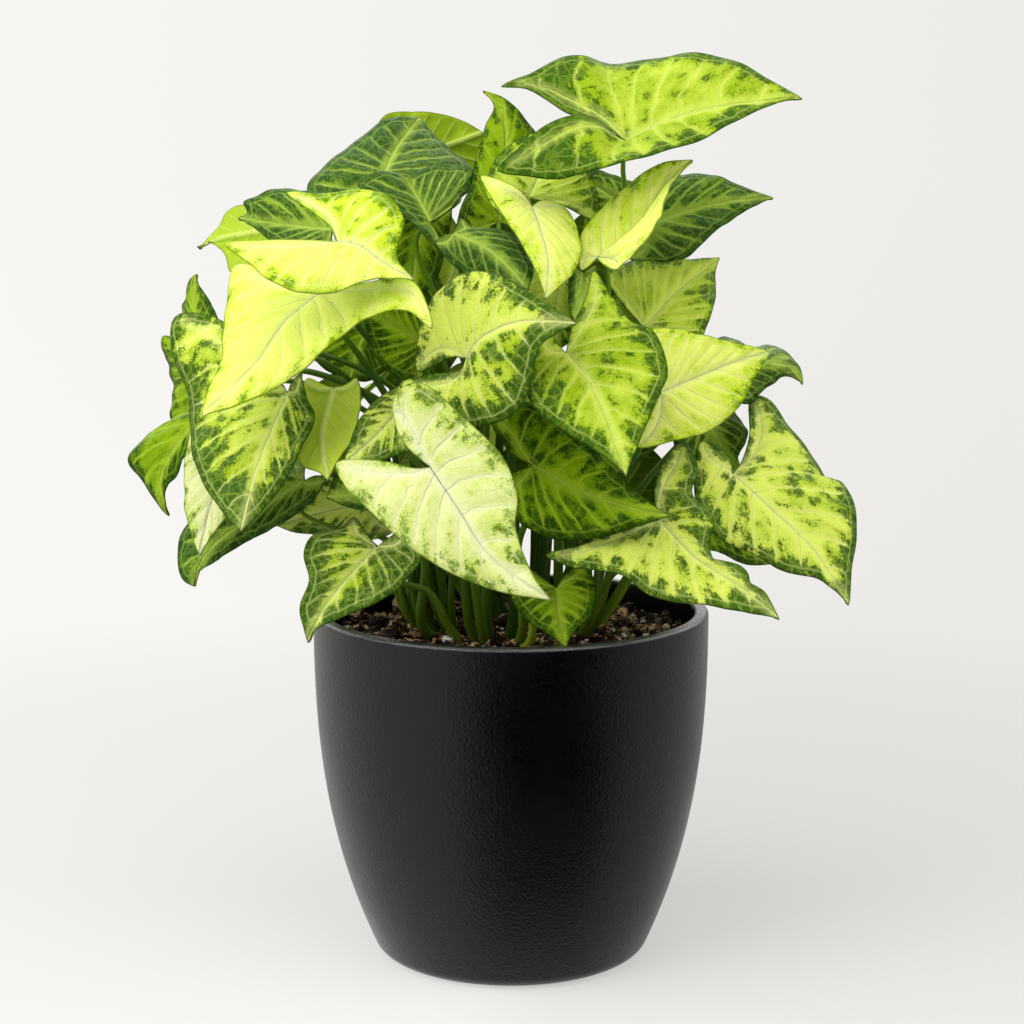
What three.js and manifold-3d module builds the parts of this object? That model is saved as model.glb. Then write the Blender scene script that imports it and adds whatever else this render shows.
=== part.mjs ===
// An arrowhead plant (Syngonium) growing in a tapered round pot.
// Millimetres, +Z up. The pot stands on z = 0 with its axis on Z, and the plant's front faces -Y.
// Pot, soil, four clumps of leaf stalks and every leaf blade are separate closed solids.
import * as THREE from 'three';
import { mergeVertices } from 'three/addons/utils/BufferGeometryUtils.js';
import Module from 'manifold-3d';

// ---- Driving dimensions -------------------------------------------------------------------

const CLEARANCE = 0.3; // gap left between any two pieces that touch on the real plant

const POT_HEIGHT = 142.4;
const POT_FOOT_RADIUS = 54.5; // where the wall's curve would meet z = 0
const POT_FLARE = 26; // how much the wall widens from foot to rim
const POT_FLARE_POWER = 2.6; // how early that widening happens
const POT_FOOT_FILLET = 8;
const POT_WALL = 5.8;
const POT_FLOOR = 7;
const POT_WALL_STEPS = 9; // outside
const POT_LINING_STEPS = 4; // inside, and the soil against it
const POT_STEP_CROWDING = 1.5; // rows lie closer together towards the foot, where the curve is
const POT_SIDES = 48;

const SOIL_EDGE_HEIGHT = 130.5;
const SOIL_CROWN_HEIGHT = 134.5;

const CROWN_RADIUS = 6;
const CROWN_BOTTOM = 116;
const CROWN_TOP = 143;
const STALK_BASE_RADIUS = 2.2;
const STALK_END_RADIUS = 0.9;
const SEAT_DEPTH = 1.15; // a stalk's end below the middle of its blade
const STALK_STEPS = 7;
const STALK_SIDES = 5;
const STALK_RISE_OUT = 0.22; // how far out a stalk has gone, as a share of its reach...
const STALK_RISE_UP = 0.6; // ...when it has risen this share of its height

const RIB_HALF_THICKNESS = 0.55;
const BLADE_HALF_THICKNESS = 0.4;
const LOBE_STEPS = 3; // columns of the blade behind the stalk's junction
const RIB_STEPS = 6; // columns from the junction to the tip
const LOBE_SHARE = 0.36; // share of the outer margin that belongs to a basal lobe
const LOBE_RIB_SHARE = 0.45; // how far from its sinus towards its edge a lobe's rib runs

// Leaves are drawn as they are seen from in front: [across, up] on the upright plane through
// the pot's axis, then carried forward along the straight line towards this point of view.
const VIEW_DISTANCE = 889;
const VIEW_HEIGHT = 318;

// ---- Materials ----------------------------------------------------------------------------

const FINISHES = {
  cream: { color: 0xe3eb9c, roughness: 0.5 },
  yellow: { color: 0xd6e840, roughness: 0.5 },
  lime: { color: 0xb4d13a, roughness: 0.5 },
  mottled: { color: 0xa3c04c, roughness: 0.5 },
  green: { color: 0x6f9a26, roughness: 0.5 },
  dark: { color: 0x3f6a24, roughness: 0.48 },
  stalk: { color: 0x7b9a22, roughness: 0.45 },
  soil: { color: 0x2a1c12, roughness: 0.95 },
  pot: { color: 0x17191b, roughness: 0.55 },
};

function material(finish) {
  return new THREE.MeshStandardMaterial({ metalness: 0, ...FINISHES[finish] });
}

// ---- The leaves ---------------------------------------------------------------------------

// Each leaf has the junction where its stalk meets it, points along the midrib, the tip, and two
// sides. A side runs from its basal lobe's tip along the outer edge to the leaf's tip, and along
// the sinus back to the junction. A third number is the distance forward of the pot's axis; a
// side's own `forward` is that distance where the side is widest. `via` lists points in space
// that a stalk passes on its way round its neighbours, and `seat` replaces SEAT_DEPTH.
const LEAVES = {
  top_right: {
    clump: 'right', finish: 'lime', junction: [45.5, 331, 4], rib: [[60, 338], [80, 343.5]], tip: [115, 347.5, 8],
    seat: 0.9, via: [[22, -2, 215], [46, 6, 300]],
    sides: [
      { lobe: [-4, 352, -14], sinus: [[30, 341.5]], forward: -26,
        edge: [[10, 357.5], [25, 363.5], [48, 361.5], [75, 364.5], [98, 357]] },
      { lobe: [-5.5, 319.5, 26], sinus: [[33, 339], [12, 334]], forward: 30,
        edge: [[10, 317], [28, 317], [50, 325], [72, 330], [98, 342.5]] },
    ],
  },
  top_centre: {
    clump: 'back', finish: 'green', junction: [-5, 299, -22], rib: [[-2, 325], [-4, 343.5]], tip: [-11.5, 350.5, -44],
    sides: [
      { lobe: [-22, 288, -16], sinus: [[-13, 293]], forward: -30,
        edge: [[-20, 305], [-14.5, 322], [-12, 331], [-8.5, 343]] },
      { lobe: [10, 292, -18], sinus: [[3, 295]], forward: -32,
        edge: [[16, 310], [13, 328], [7, 337], [2.5, 343], [-3, 347.5]] },
    ],
  },
  top_inner_pale: {
    clump: 'back', finish: 'lime', junction: [7, 308.5, -4], rib: [[11, 317]], tip: [17, 335, -16],
    via: [[-3, 14, 240], [0, 14, 280]],
    sides: [
      { lobe: [-3, 301, 2], sinus: [[3, 304]], forward: -10, edge: [[-10, 310], [-7, 322], [4, 332]] },
      { lobe: [33.5, 299.5, 0], sinus: [[20, 305.5]], forward: -8, edge: [[35, 305], [32, 318], [25, 328]] },
    ],
  },
  centre_top_cream: {
    clump: 'front', finish: 'yellow', junction: [8.5, 305.5, 20], rib: [[11.5, 297], [15, 284]], tip: [14, 268, 40],
    sides: [
      { lobe: [-12, 317, 8], sinus: [[3, 312]], forward: 26,
        edge: [[-9, 310], [-3, 301], [4, 290], [10, 279]] },
      { lobe: [19.5, 306, 12], sinus: [[13, 307.7]], forward: 20,
        edge: [[25, 300], [28, 288], [25.5, 279], [19, 272.5]] },
    ],
  },
  right_upper_yellow: {
    clump: 'right', finish: 'yellow', junction: [34, 284.5, 22], rib: [[46, 291], [60, 311]], tip: [72, 323.5, 8],
    via: [[30, -8, 230], [38, -13, 264]],
    sides: [
      { lobe: [28, 279.8, 24], sinus: [[31.5, 281.5]], forward: 10,
        edge: [[27.8, 294], [35, 303], [48, 315], [60, 322]] },
      { lobe: [42, 280, 30], sinus: [[38, 281]], forward: 34,
        edge: [[50, 287], [57, 295.5], [61, 307], [65.5, 316]] },
    ],
  },
  right_upper_dark: {
    clump: 'back', finish: 'dark', junction: [53, 297, -34], rib: [[70, 303], [88, 307]], tip: [104.5, 308.5, -46],
    via: [[20, 14, 235], [40, 18, 275]],
    sides: [
      { lobe: [44, 312, -46], sinus: [[49, 303]], forward: -52,
        edge: [[58, 316], [75, 318], [88, 314.5], [97, 311]] },
      { lobe: [47, 284.5, -22], sinus: [[50, 291]], forward: -22,
        edge: [[60, 281], [70, 285], [81, 294.5], [93, 303]] },
    ],
  },
  top_behind_stalk: {
    clump: 'back', finish: 'dark', junction: [50, 300, -58], rib: [[40, 309]], tip: [27, 316, -62],
    via: [[22, 16, 240], [50, 30, 280]],
    sides: [
      { lobe: [58, 305, -60], sinus: [[54, 302]], forward: -66, edge: [[52, 313], [44, 316], [33, 319.5]] },
      { lobe: [44, 292, -56], sinus: [[47, 297]], forward: -58, edge: [[38, 296], [31, 303], [27, 311]] },
    ],
  },
  top_left_back: {
    clump: 'back', finish: 'dark', junction: [-50.5, 317.5, -34], rib: [[-46, 327]], tip: [-36, 340, -72],
    sides: [
      { lobe: [-70, 302, -22], sinus: [[-59, 309]], forward: -40,
        edge: [[-81, 311], [-75.5, 320], [-61, 330.5], [-50, 339]] },
      { lobe: [-30, 304, -30], sinus: [[-42, 312]], forward: -44,
        edge: [[-15, 313], [-15, 320], [-24, 327], [-31, 334]] },
    ],
  },
  top_back_lime: {
    clump: 'back', finish: 'lime', junction: [-45, 322, -82], rib: [[-30, 327]], tip: [-11, 334, -74],
    via: [[-14, 20, 240], [-24, 33, 284], [-52, 44, 294]],
    sides: [
      { lobe: [-55, 328, -84], sinus: [[-50, 325]], forward: -86,
        edge: [[-50, 340.5], [-38, 342], [-27, 341], [-18, 338]] },
      { lobe: [-48, 312, -78], sinus: [[-46, 317]], forward: -76, edge: [[-34, 310], [-18, 312], [-11, 322]] },
    ],
  },
  top_left_front: {
    clump: 'back', finish: 'dark', junction: [-32, 299, -6], rib: [[-37, 308]], tip: [-42, 316.5, -22],
    sides: [
      { lobe: [-18, 280, 4], sinus: [[-27, 291]], forward: 0,
        edge: [[-27, 286], [-36, 295], [-50, 308], [-61, 313], [-52, 319]] },
      { lobe: [-21, 308.5, -8], sinus: [[-26, 302.5]], forward: -16, edge: [[-16, 313], [-15.5, 319.5], [-30, 321]] },
    ],
  },
  centre_dark: {
    clump: 'left', finish: 'dark', junction: [-23, 294.5, 14], rib: [[-12, 290], [-3, 283]], tip: [7, 272, 34],
    sides: [
      { lobe: [-20, 300.5, 8], sinus: [[-21.5, 297.5]], forward: 8,
        edge: [[-13, 295.2], [-3, 296], [4, 290], [9, 280]] },
      { lobe: [-30, 291, 14], sinus: [[-27, 293.5]], forward: 22, edge: [[-28, 287], [-20, 279], [-8, 274]] },
    ],
  },
  left_top_yellow: {
    clump: 'left', finish: 'yellow', junction: [-69.5, 291.5, 60], rib: [[-61, 290], [-51, 283]], tip: [-38.5, 276, 70],
    via: [[-38, -12, 225], [-64, -26, 266]],
    sides: [
      { lobe: [-89, 310.5, 40], sinus: [[-72, 297], [-81, 304]], forward: 44,
        edge: [[-75, 310], [-60, 312], [-49, 309], [-42.5, 300], [-45.5, 285]] },
      { lobe: [-114, 290.2, 56], sinus: [[-97, 291.8]], forward: 76,
        edge: [[-104, 282], [-96, 275], [-85, 271], [-70, 271], [-55, 276]] },
    ],
  },
  left_top_dark: {
    clump: 'left', finish: 'dark', junction: [-71.5, 296, 26], rib: [[-92, 298]], tip: [-109, 300.5, 14],
    sides: [
      { lobe: [-66, 306, 20], sinus: [[-69.5, 301]], forward: 10,
        edge: [[-80, 311], [-92, 312], [-100, 309.5], [-106.5, 306.5], [-105, 302.5]] },
      { lobe: [-68, 285, 34], sinus: [[-71, 290.5]], forward: 32, edge: [[-84, 287], [-96, 291.5], [-103, 297]] },
    ],
  },
  left_pale_behind: {
    clump: 'left', finish: 'lime', junction: [-92, 296, 2], rib: [[-105, 294], [-116, 292]], tip: [-124.5, 288, -26],
    sides: [
      { lobe: [-84, 305, -12], sinus: [[-88, 300]], forward: -30,
        edge: [[-97, 305], [-110, 304.5], [-115.5, 298], [-120.5, 292.5]] },
      { lobe: [-88, 282, 12], sinus: [[-90, 289]], forward: 4, edge: [[-100, 278], [-111.5, 278.5], [-114, 285.5], [-119.5, 290.2]] },
    ],
  },
  left_yellow: {
    clump: 'left', finish: 'yellow', junction: [-77, 270.5, 46], rib: [[-90, 260], [-103, 242]], tip: [-125, 221, 66],
    via: [[-42, -12, 215], [-66, -24, 256]],
    sides: [
      { lobe: [-110, 282, 24], sinus: [[-91, 277]], forward: 34,
        edge: [[-113.5, 270], [-115.5, 253], [-118, 240], [-122.5, 230]] },
      { lobe: [-31.5, 256, 72], sinus: [[-60, 274.5, 52], [-40, 276, 62], [-33.5, 266, 70]], forward: 66,
        edge: [[-42, 263.5], [-58, 260.5], [-75, 247], [-90, 235.5], [-106, 227]] },
    ],
  },
  left_small_upright: {
    clump: 'left', finish: 'green', junction: [-124, 251, -14], rib: [[-127, 266]], tip: [-126, 278.5, -34],
    via: [[-40, 4, 224], [-94, 10, 250]],
    sides: [
      { lobe: [-131, 246, -34], sinus: [[-127, 249]], forward: -40, edge: [[-132.5, 255], [-130.8, 267], [-129, 275]] },
      { lobe: [-117, 247, -10], sinus: [[-121, 249]], forward: -12, edge: [[-116, 256], [-121.5, 269], [-125, 274.5]] },
    ],
  },
  left_mottled: {
    clump: 'left', finish: 'mottled', junction: [-90, 231, 36], rib: [[-95, 220], [-103, 200]], tip: [-110, 174, 62],
    via: [[-52, -8, 222], [-80, -18, 246]],
    sides: [
      { lobe: [-135, 261, -8], sinus: [[-112, 257], [-124, 262.5]], forward: 4,
        edge: [[-136.5, 248], [-131, 233], [-129.5, 212], [-125.5, 195], [-118, 183]] },
      { lobe: [-85, 238, 32], sinus: [[-88, 235.5]], forward: 46,
        edge: [[-82, 228], [-79, 221], [-85, 207], [-93, 192.5], [-104, 179]] },
    ],
  },
  far_left_hanging: {
    clump: 'left', finish: 'green', junction: [-122, 225, -12], rib: [[-135, 210], [-142.5, 193]], tip: [-139.5, 180, -24],
    via: [[-40, 2, 205], [-92, 4, 235]],
    sides: [
      { lobe: [-118, 236, -30], sinus: [[-120, 230]], forward: -46,
        edge: [[-131, 221], [-144, 215], [-154.5, 203.5], [-148, 192], [-143, 184.5]] },
      { lobe: [-110, 222, -2], sinus: [[-116, 224]], forward: -4,
        edge: [[-118, 210], [-131, 205], [-136, 196], [-140, 192]] },
    ],
  },
  far_left_behind: {
    clump: 'left', finish: 'green', junction: [-117, 240, -30], rib: [[-126, 228]], tip: [-134, 212, -62],
    seat: 1.55, via: [[-38, 4, 212], [-82, 12, 238]],
    sides: [
      { lobe: [-139.5, 253.5, -58], sinus: [[-128, 247]], forward: -66,
        edge: [[-140.5, 249], [-137, 240], [-136.8, 226], [-137, 218]] },
      { lobe: [-104, 236, -28], sinus: [[-111, 239]], forward: -34, edge: [[-106, 222], [-120, 212]] },
    ],
  },
  left_cream: {
    clump: 'left', finish: 'cream', junction: [-114, 208, 12], rib: [[-122, 185]], tip: [-127, 164, 18],
    via: [[-55, -6, 215], [-95, -14, 222]],
    sides: [
      { lobe: [-128, 216, 4], sinus: [[-121, 212]], forward: 4,
        edge: [[-132, 203], [-132.5, 186], [-130.5, 174]] },
      { lobe: [-101, 210, 14], sinus: [[-107, 210]], forward: 26, edge: [[-102, 196], [-114, 182], [-122, 171.5]] },
    ],
  },
  left_low_dark: {
    clump: 'left', finish: 'dark', junction: [-84, 195, 4], rib: [[-104, 181], [-124, 165]], tip: [-129.5, 151, -2],
    sides: [
      { lobe: [-82, 210, -24], sinus: [[-83, 203]], forward: -30,
        edge: [[-100, 208], [-122, 190], [-133.5, 173], [-136, 162], [-134, 154]] },
      { lobe: [-75, 196, 10], sinus: [[-79, 197]], forward: 8,
        edge: [[-80, 187], [-96, 175.5], [-112, 167.3], [-121, 161], [-127.5, 157]] },
    ],
  },
  left_inner_lime: {
    clump: 'left', finish: 'lime', junction: [-71, 231.5, 20], rib: [[-76, 214]], tip: [-74, 194.5, 46],
    sides: [
      { lobe: [-82, 236, 14], sinus: [[-76, 234]], forward: 26, edge: [[-88, 222], [-87, 205], [-84, 200.5], [-77.5, 197.8]] },
      { lobe: [-62, 236, 18], sinus: [[-66, 234]], forward: 32, edge: [[-60.5, 226], [-64, 212], [-71, 201]] },
    ],
  },
  left_behind_stalks: {
    clump: 'back', finish: 'green', junction: [-54, 262, -24], rib: [[-62, 248]], tip: [-65, 236, -16],
    sides: [
      { lobe: [-64, 272, -28], sinus: [[-60, 266]], forward: -26, edge: [[-78, 262], [-82, 250], [-75, 240]] },
      { lobe: [-44, 266, -20], sinus: [[-48, 264]], forward: -18, edge: [[-44, 252], [-50, 240], [-58, 235]] },
    ],
  },
  left_inner_green: {
    clump: 'front', finish: 'mottled', junction: [-45, 224, 46], rib: [[-55, 213]], tip: [-68, 201.5, 54],
    sides: [
      { lobe: [-42, 234, 38], sinus: [[-43.5, 229]], forward: 42, edge: [[-52, 229.5], [-60.5, 221], [-66, 208]] },
      { lobe: [-34, 222, 48], sinus: [[-40, 224]], forward: 54, edge: [[-38, 209], [-50, 203.8], [-61, 200.5]] },
    ],
  },
  left_inner_dark: {
    clump: 'left', finish: 'green', junction: [-34, 250, 38], rib: [[-47, 258]], tip: [-60, 266, 26],
    sides: [
      { lobe: [-27, 254, 40], sinus: [[-30, 252]], forward: 40, edge: [[-33, 264], [-46, 270], [-56, 270]] },
      { lobe: [-36, 236, 38], sinus: [[-35, 243]], forward: 32, edge: [[-46, 237], [-53, 243], [-58, 256]] },
    ],
  },
  left_hidden_dark: {
    clump: 'left', finish: 'dark', junction: [-52, 192, 34], rib: [[-62, 189]], tip: [-75, 188, 36],
    sides: [
      { lobe: [-50, 200, 28], sinus: [[-51, 196]], forward: 28, edge: [[-60, 201], [-70, 199]] },
      { lobe: [-46, 184, 36], sinus: [[-49, 188]], forward: 38, edge: [[-58, 182.5], [-68, 184.5]] },
    ],
  },
  left_low_pale: {
    clump: 'left', finish: 'mottled', junction: [-58, 186, -6], rib: [[-76, 182]], tip: [-96, 176.5, -14],
    sides: [
      { lobe: [-52, 194, -12], sinus: [[-55, 190]], forward: -16, edge: [[-64, 200], [-80, 194], [-92, 182]] },
      { lobe: [-48, 174, 0], sinus: [[-53, 180]], forward: -4, edge: [[-60, 170], [-76, 172.5], [-88, 173.5]] },
    ],
  },
  front_left_low: {
    clump: 'front', finish: 'mottled', junction: [-54.5, 168, 40], rib: [[-65, 157], [-76, 143]], tip: [-83.5, 128, 58],
    sides: [
      { lobe: [-64, 180, 28], sinus: [[-58.5, 173]], forward: 40,
        edge: [[-70, 175], [-80, 173], [-84.5, 165], [-82.5, 154], [-86.5, 142], [-85, 134]] },
      { lobe: [-45, 174, 44], sinus: [[-49, 172]], forward: 54,
        edge: [[-36.5, 164], [-42, 154.5], [-54, 145], [-70, 138], [-79.5, 133.5]] },
    ],
  },
  front_cream: {
    clump: 'front', finish: 'cream', junction: [-33, 200.5, 82], rib: [[-22, 184], [-8, 163]], tip: [16.5, 145.3, 106],
    sides: [
      { lobe: [-47.5, 222, 74], sinus: [[-38, 204.5], [-44, 211]], forward: 82,
        edge: [[-45, 232], [-36, 234.5], [-20, 221.5], [-3, 204], [2.8, 188], [2, 176], [8.5, 157]] },
      { lobe: [-71, 202, 62], sinus: [[-39, 200], [-52, 203]], forward: 84,
        edge: [[-67, 192], [-57, 182], [-43, 168.5], [-25, 157], [-5, 149]] },
    ],
  },
  centre_mottled: {
    clump: 'front', finish: 'mottled', junction: [-18.5, 244.5, 54], rib: [[-13, 252], [2, 259]], tip: [26.5, 258.8, 66],
    sides: [
      { lobe: [-37.5, 239, 46], sinus: [[-23, 245], [-31, 241.5]], forward: 40,
        edge: [[-36.5, 257], [-29.5, 271], [-19, 278.7], [-7, 278.5], [10, 269]] },
      { lobe: [-45, 234, 52], sinus: [[-20.5, 240], [-32, 238]], forward: 66,
        edge: [[-28, 219], [-8, 217.5], [5, 226], [8.7, 238], [12, 249.5]] },
    ],
  },
  centre_right: {
    clump: 'right', finish: 'lime', junction: [22, 247, 48], rib: [[30, 238], [39, 219]], tip: [46.7, 197, 88],
    sides: [
      { lobe: [33, 279.5, 34], sinus: [[24, 256], [30, 269]], forward: 52,
        edge: [[40, 270], [49, 258.5], [57, 255.5], [63, 239], [58.5, 227], [50, 206]] },
      { lobe: [14, 256.5, 48], sinus: [[19, 250]], forward: 62,
        edge: [[5, 243], [7, 228], [22, 214.5], [38, 204.5]] },
    ],
  },
  centre_low_green: {
    clump: 'front', finish: 'green', junction: [8.5, 201, 44], rib: [[25, 192], [45, 184.5]], tip: [64.5, 180.5, 78],
    sides: [
      { lobe: [-8, 220, 30], sinus: [[0, 206]], forward: 46,
        edge: [[6, 227], [26, 214], [42, 199], [55, 187]] },
      { lobe: [-7, 190, 52], sinus: [[1, 198]], forward: 60,
        edge: [[4, 177], [20, 170.5], [34, 171], [50, 175.5]] },
    ],
  },
  front_low_small: {
    clump: 'front', finish: 'green', junction: [18.5, 151, 50], rib: [[19.5, 138]], tip: [22.5, 125.3, 67],
    sides: [
      { lobe: [8, 158, 46], sinus: [[14, 154]], forward: 58, edge: [[0, 149], [6, 137.5], [15, 131.5]] },
      { lobe: [30, 160, 48], sinus: [[22, 156]], forward: 58, edge: [[34.8, 150], [33, 140], [25, 131]] },
    ],
  },
  front_right: {
    clump: 'right', finish: 'mottled', junction: [60, 179, 56], rib: [[75, 163.5], [92, 152]], tip: [110, 137.8, 80],
    sides: [
      { lobe: [14, 164.5, 66], sinus: [[44, 174.5], [27, 168]], forward: 76,
        edge: [[22, 160], [44, 156], [60, 146.5], [85, 142.5]] },
      { lobe: [70, 211, 26], sinus: [[58, 190], [62, 203]], forward: 52,
        edge: [[76, 199], [73.5, 190], [82.3, 179], [81, 167.5], [84, 161], [95, 158], [103, 149.5]] },
    ],
  },
  right_pale: {
    clump: 'right', finish: 'yellow', junction: [60.5, 230.8, 38], rib: [[75, 237], [90, 243]], tip: [104.5, 247, 8],
    sides: [
      { lobe: [54, 255, 30], sinus: [[56, 243]], forward: 22, edge: [[66, 256.5], [80, 253], [94, 250]] },
      { lobe: [51, 208.5, 46], sinus: [[55, 219]], forward: 40,
        edge: [[66, 211], [80, 215], [92, 225], [98.5, 237]] },
    ],
  },
  right_upper_green: {
    clump: 'right', finish: 'lime', junction: [53.5, 257, 16], rib: [[65, 270]], tip: [83.5, 285, -26],
    sides: [
      { lobe: [37.5, 278, 8], sinus: [[45, 266]], forward: -18, edge: [[50, 283], [66, 283.5], [77, 284.5]] },
      { lobe: [62, 244, 14], sinus: [[58, 251]], forward: 10,
        edge: [[73, 247], [79, 258], [82, 271], [81.8, 279]] },
    ],
  },
  right_small_dark: {
    clump: 'right', finish: 'dark', junction: [84, 238, 4], rib: [[104, 242.5], [112.5, 240.5]], tip: [118, 234, -22],
    seat: 1.25, via: [[50, -5, 206], [72, -9, 230]],
    sides: [
      { lobe: [76, 246, -18], sinus: [[80, 242]], forward: -34,
        edge: [[87, 253.5], [98, 248.5], [107, 249.5], [115.5, 242]] },
      { lobe: [90, 228, 2], sinus: [[88, 234]], forward: -10, edge: [[96, 226], [103, 232.5], [110.5, 237]] },
    ],
  },
  right_hanging_dark: {
    clump: 'right', finish: 'dark', junction: [76, 226, -6], rib: [[83, 213]], tip: [90, 199.5, -4],
    sides: [
      { lobe: [66, 224, 0], sinus: [[71, 226]], forward: 4, edge: [[66, 210], [76, 202]] },
      { lobe: [86, 230, -12], sinus: [[81, 229]], forward: -16, edge: [[92, 220], [96, 214], [92.5, 206]] },
    ],
  },
  right_mottled: {
    clump: 'right', finish: 'mottled', junction: [90, 198, 28], rib: [[105, 184], [122, 167.5]], tip: [138.5, 143.5, 34],
    sides: [
      { lobe: [77, 211, 26], sinus: [[88, 205]], forward: 44,
        edge: [[74.5, 200], [75, 186], [82, 173], [97, 165.5], [112, 157], [126, 154]] },
      { lobe: [97, 229.5, -14], sinus: [[93, 202], [96.3, 213]], forward: -4,
        edge: [[105, 226], [115, 212], [127.5, 195.5], [134, 195], [140, 178], [139, 158]] },
    ],
  },
  right_low_behind: {
    clump: 'right', finish: 'green', junction: [76, 184, -10], rib: [[90, 173]], tip: [106.5, 160.3, -42],
    seat: 1.25,
    sides: [
      { lobe: [78, 194, -26], sinus: [[77, 189]], forward: -44, edge: [[92, 188], [104, 172]] },
      { lobe: [66, 178, -4], sinus: [[71, 181]], forward: -14, edge: [[74, 168], [84, 165.5], [96, 160.2]] },
    ],
  },
  centre_hidden_dark: {
    clump: 'right', finish: 'dark', junction: [29, 279, 20], rib: [[28.5, 270]], tip: [25.5, 259, 34],
    sides: [
      { lobe: [24, 283, 18], sinus: [[26.5, 281]], forward: 26, edge: [[23, 272], [23.5, 264]] },
      { lobe: [34, 282, 16], sinus: [[31.5, 281]], forward: 24, edge: [[33.5, 273], [29, 264]] },
    ],
  },
  centre_hidden_lime: {
    clump: 'right', finish: 'lime', junction: [20, 277, -12], rib: [[18, 264]], tip: [16, 246, -2],
    sides: [
      { lobe: [10, 282, -16], sinus: [[15, 279]], forward: -12, edge: [[4, 268], [8, 254]] },
      { lobe: [32, 278, -14], sinus: [[26, 278]], forward: -12, edge: [[33, 264], [25, 252]] },
    ],
  },
  left_shaded: {
    clump: 'back', finish: 'green', junction: [-34, 302, -28], rib: [[-38, 286]], tip: [-40, 266, -12],
    sides: [
      { lobe: [-48, 308, -30], sinus: [[-41, 304]], forward: -22, edge: [[-58, 292], [-52, 275]] },
      { lobe: [-24, 306, -30], sinus: [[-29, 303]], forward: -22, edge: [[-26, 288], [-31, 274]] },
    ],
  },
};

// The leaves at the back have the species' plain arrowhead shape. `angle` is the direction from
// the pot's axis that the leaf grows and points in (0 = right, 90 = back), and `dip` is how far
// its midrib falls below the horizontal at the junction.
const BACK_LEAVES = [
  { angle: 45, radius: 66, height: 184, length: 56, dip: 54, finish: 'green' },
  { angle: 72, radius: 80, height: 186, length: 60, dip: 52, finish: 'mottled' },
  { angle: 106, radius: 66, height: 178, length: 58, dip: 56, finish: 'green' },
  { angle: 136, radius: 80, height: 186, length: 58, dip: 52, finish: 'lime' },
  { angle: 24, radius: 74, height: 224, length: 54, dip: 34, finish: 'mottled' },
  { angle: 54, radius: 62, height: 250, length: 60, dip: 40, finish: 'lime' },
  { angle: 92, radius: 84, height: 218, length: 56, dip: 34, finish: 'mottled',
    via: [[0, 30, 200], [-1, 60, 213]] },
  { angle: 120, radius: 60, height: 252, length: 62, dip: 40, finish: 'green' },
  { angle: 148, radius: 80, height: 222, length: 54, dip: 34, finish: 'lime' },
  { angle: 66, radius: 50, height: 284, length: 62, dip: 24, finish: 'green' },
  { angle: 108, radius: 66, height: 288, length: 60, dip: 34, finish: 'mottled',
    via: [[-4, 24, 250], [-10, 34, 284]] },
];

// One side of the plain leaf, in lengths of its midrib: x towards the tip, y outwards.
const PLAIN_RIB = [[0.33, 0], [0.67, 0]];
const PLAIN_SINUS = [[-0.1, 0.03]];
const PLAIN_LOBE = [-0.4, 0.3];
const PLAIN_EDGE = [[-0.28, 0.43], [0.02, 0.46], [0.35, 0.32], [0.7, 0.13]];
const PLAIN_ARCH = 0.28; // how far the tip bends down from a straight midrib
const PLAIN_FOLD = 0.3; // how far each side rises beside the midrib

// Where each clump of stalks leaves the soil, seen from above: [x, y].
const CLUMPS = {
  left: [-20, -4],
  front: [-6, -24],
  right: [17, -8],
  back: [0, 16],
};

// ---- Placing points -----------------------------------------------------------------------

function carried([across, up], forward) {
  const scale = 1 - forward / VIEW_DISTANCE;
  return new THREE.Vector3(across * scale, -forward, VIEW_HEIGHT + (up - VIEW_HEIGHT) * scale);
}

// Distances along a row of flat points, as shares of its whole length.
function shares(points) {
  const along = [0];
  for (let i = 1; i < points.length; i += 1) {
    const [x0, z0] = points[i - 1];
    const [x1, z1] = points[i];
    along.push(along[i - 1] + Math.hypot(x1 - x0, z1 - z0));
  }
  return along.map((d) => d / along.at(-1));
}

// Carries a row of points forward; the distances between those that state one run evenly.
function carriedRow(points, stations) {
  const along = shares(points);
  const known = [...stations];
  points.forEach((p, i) => {
    if (p.length === 3) known.push([along[i], p[2]]);
  });
  known.sort((a, b) => a[0] - b[0]);
  return points.map((p, i) => {
    const next = Math.max(1, known.findIndex(([share]) => share >= along[i] - 1e-9));
    const [s0, f0] = known[next - 1];
    const [s1, f1] = known[next];
    const t = s1 > s0 ? (along[i] - s0) / (s1 - s0) : 0;
    return carried(p, THREE.MathUtils.lerp(f0, f1, t));
  });
}

// A drawn leaf as rows of points in space.
function drawnLeaf(leaf) {
  const { junction, rib, tip } = leaf;
  return {
    rib: carriedRow([junction, ...rib, tip], []),
    sides: leaf.sides.map(({ lobe, sinus, edge, forward }) => ({
      edge: carriedRow([lobe, ...edge, tip], [[LOBE_SHARE, forward]]),
      sinus: carriedRow([junction, ...sinus, lobe], []),
    })),
  };
}

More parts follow.
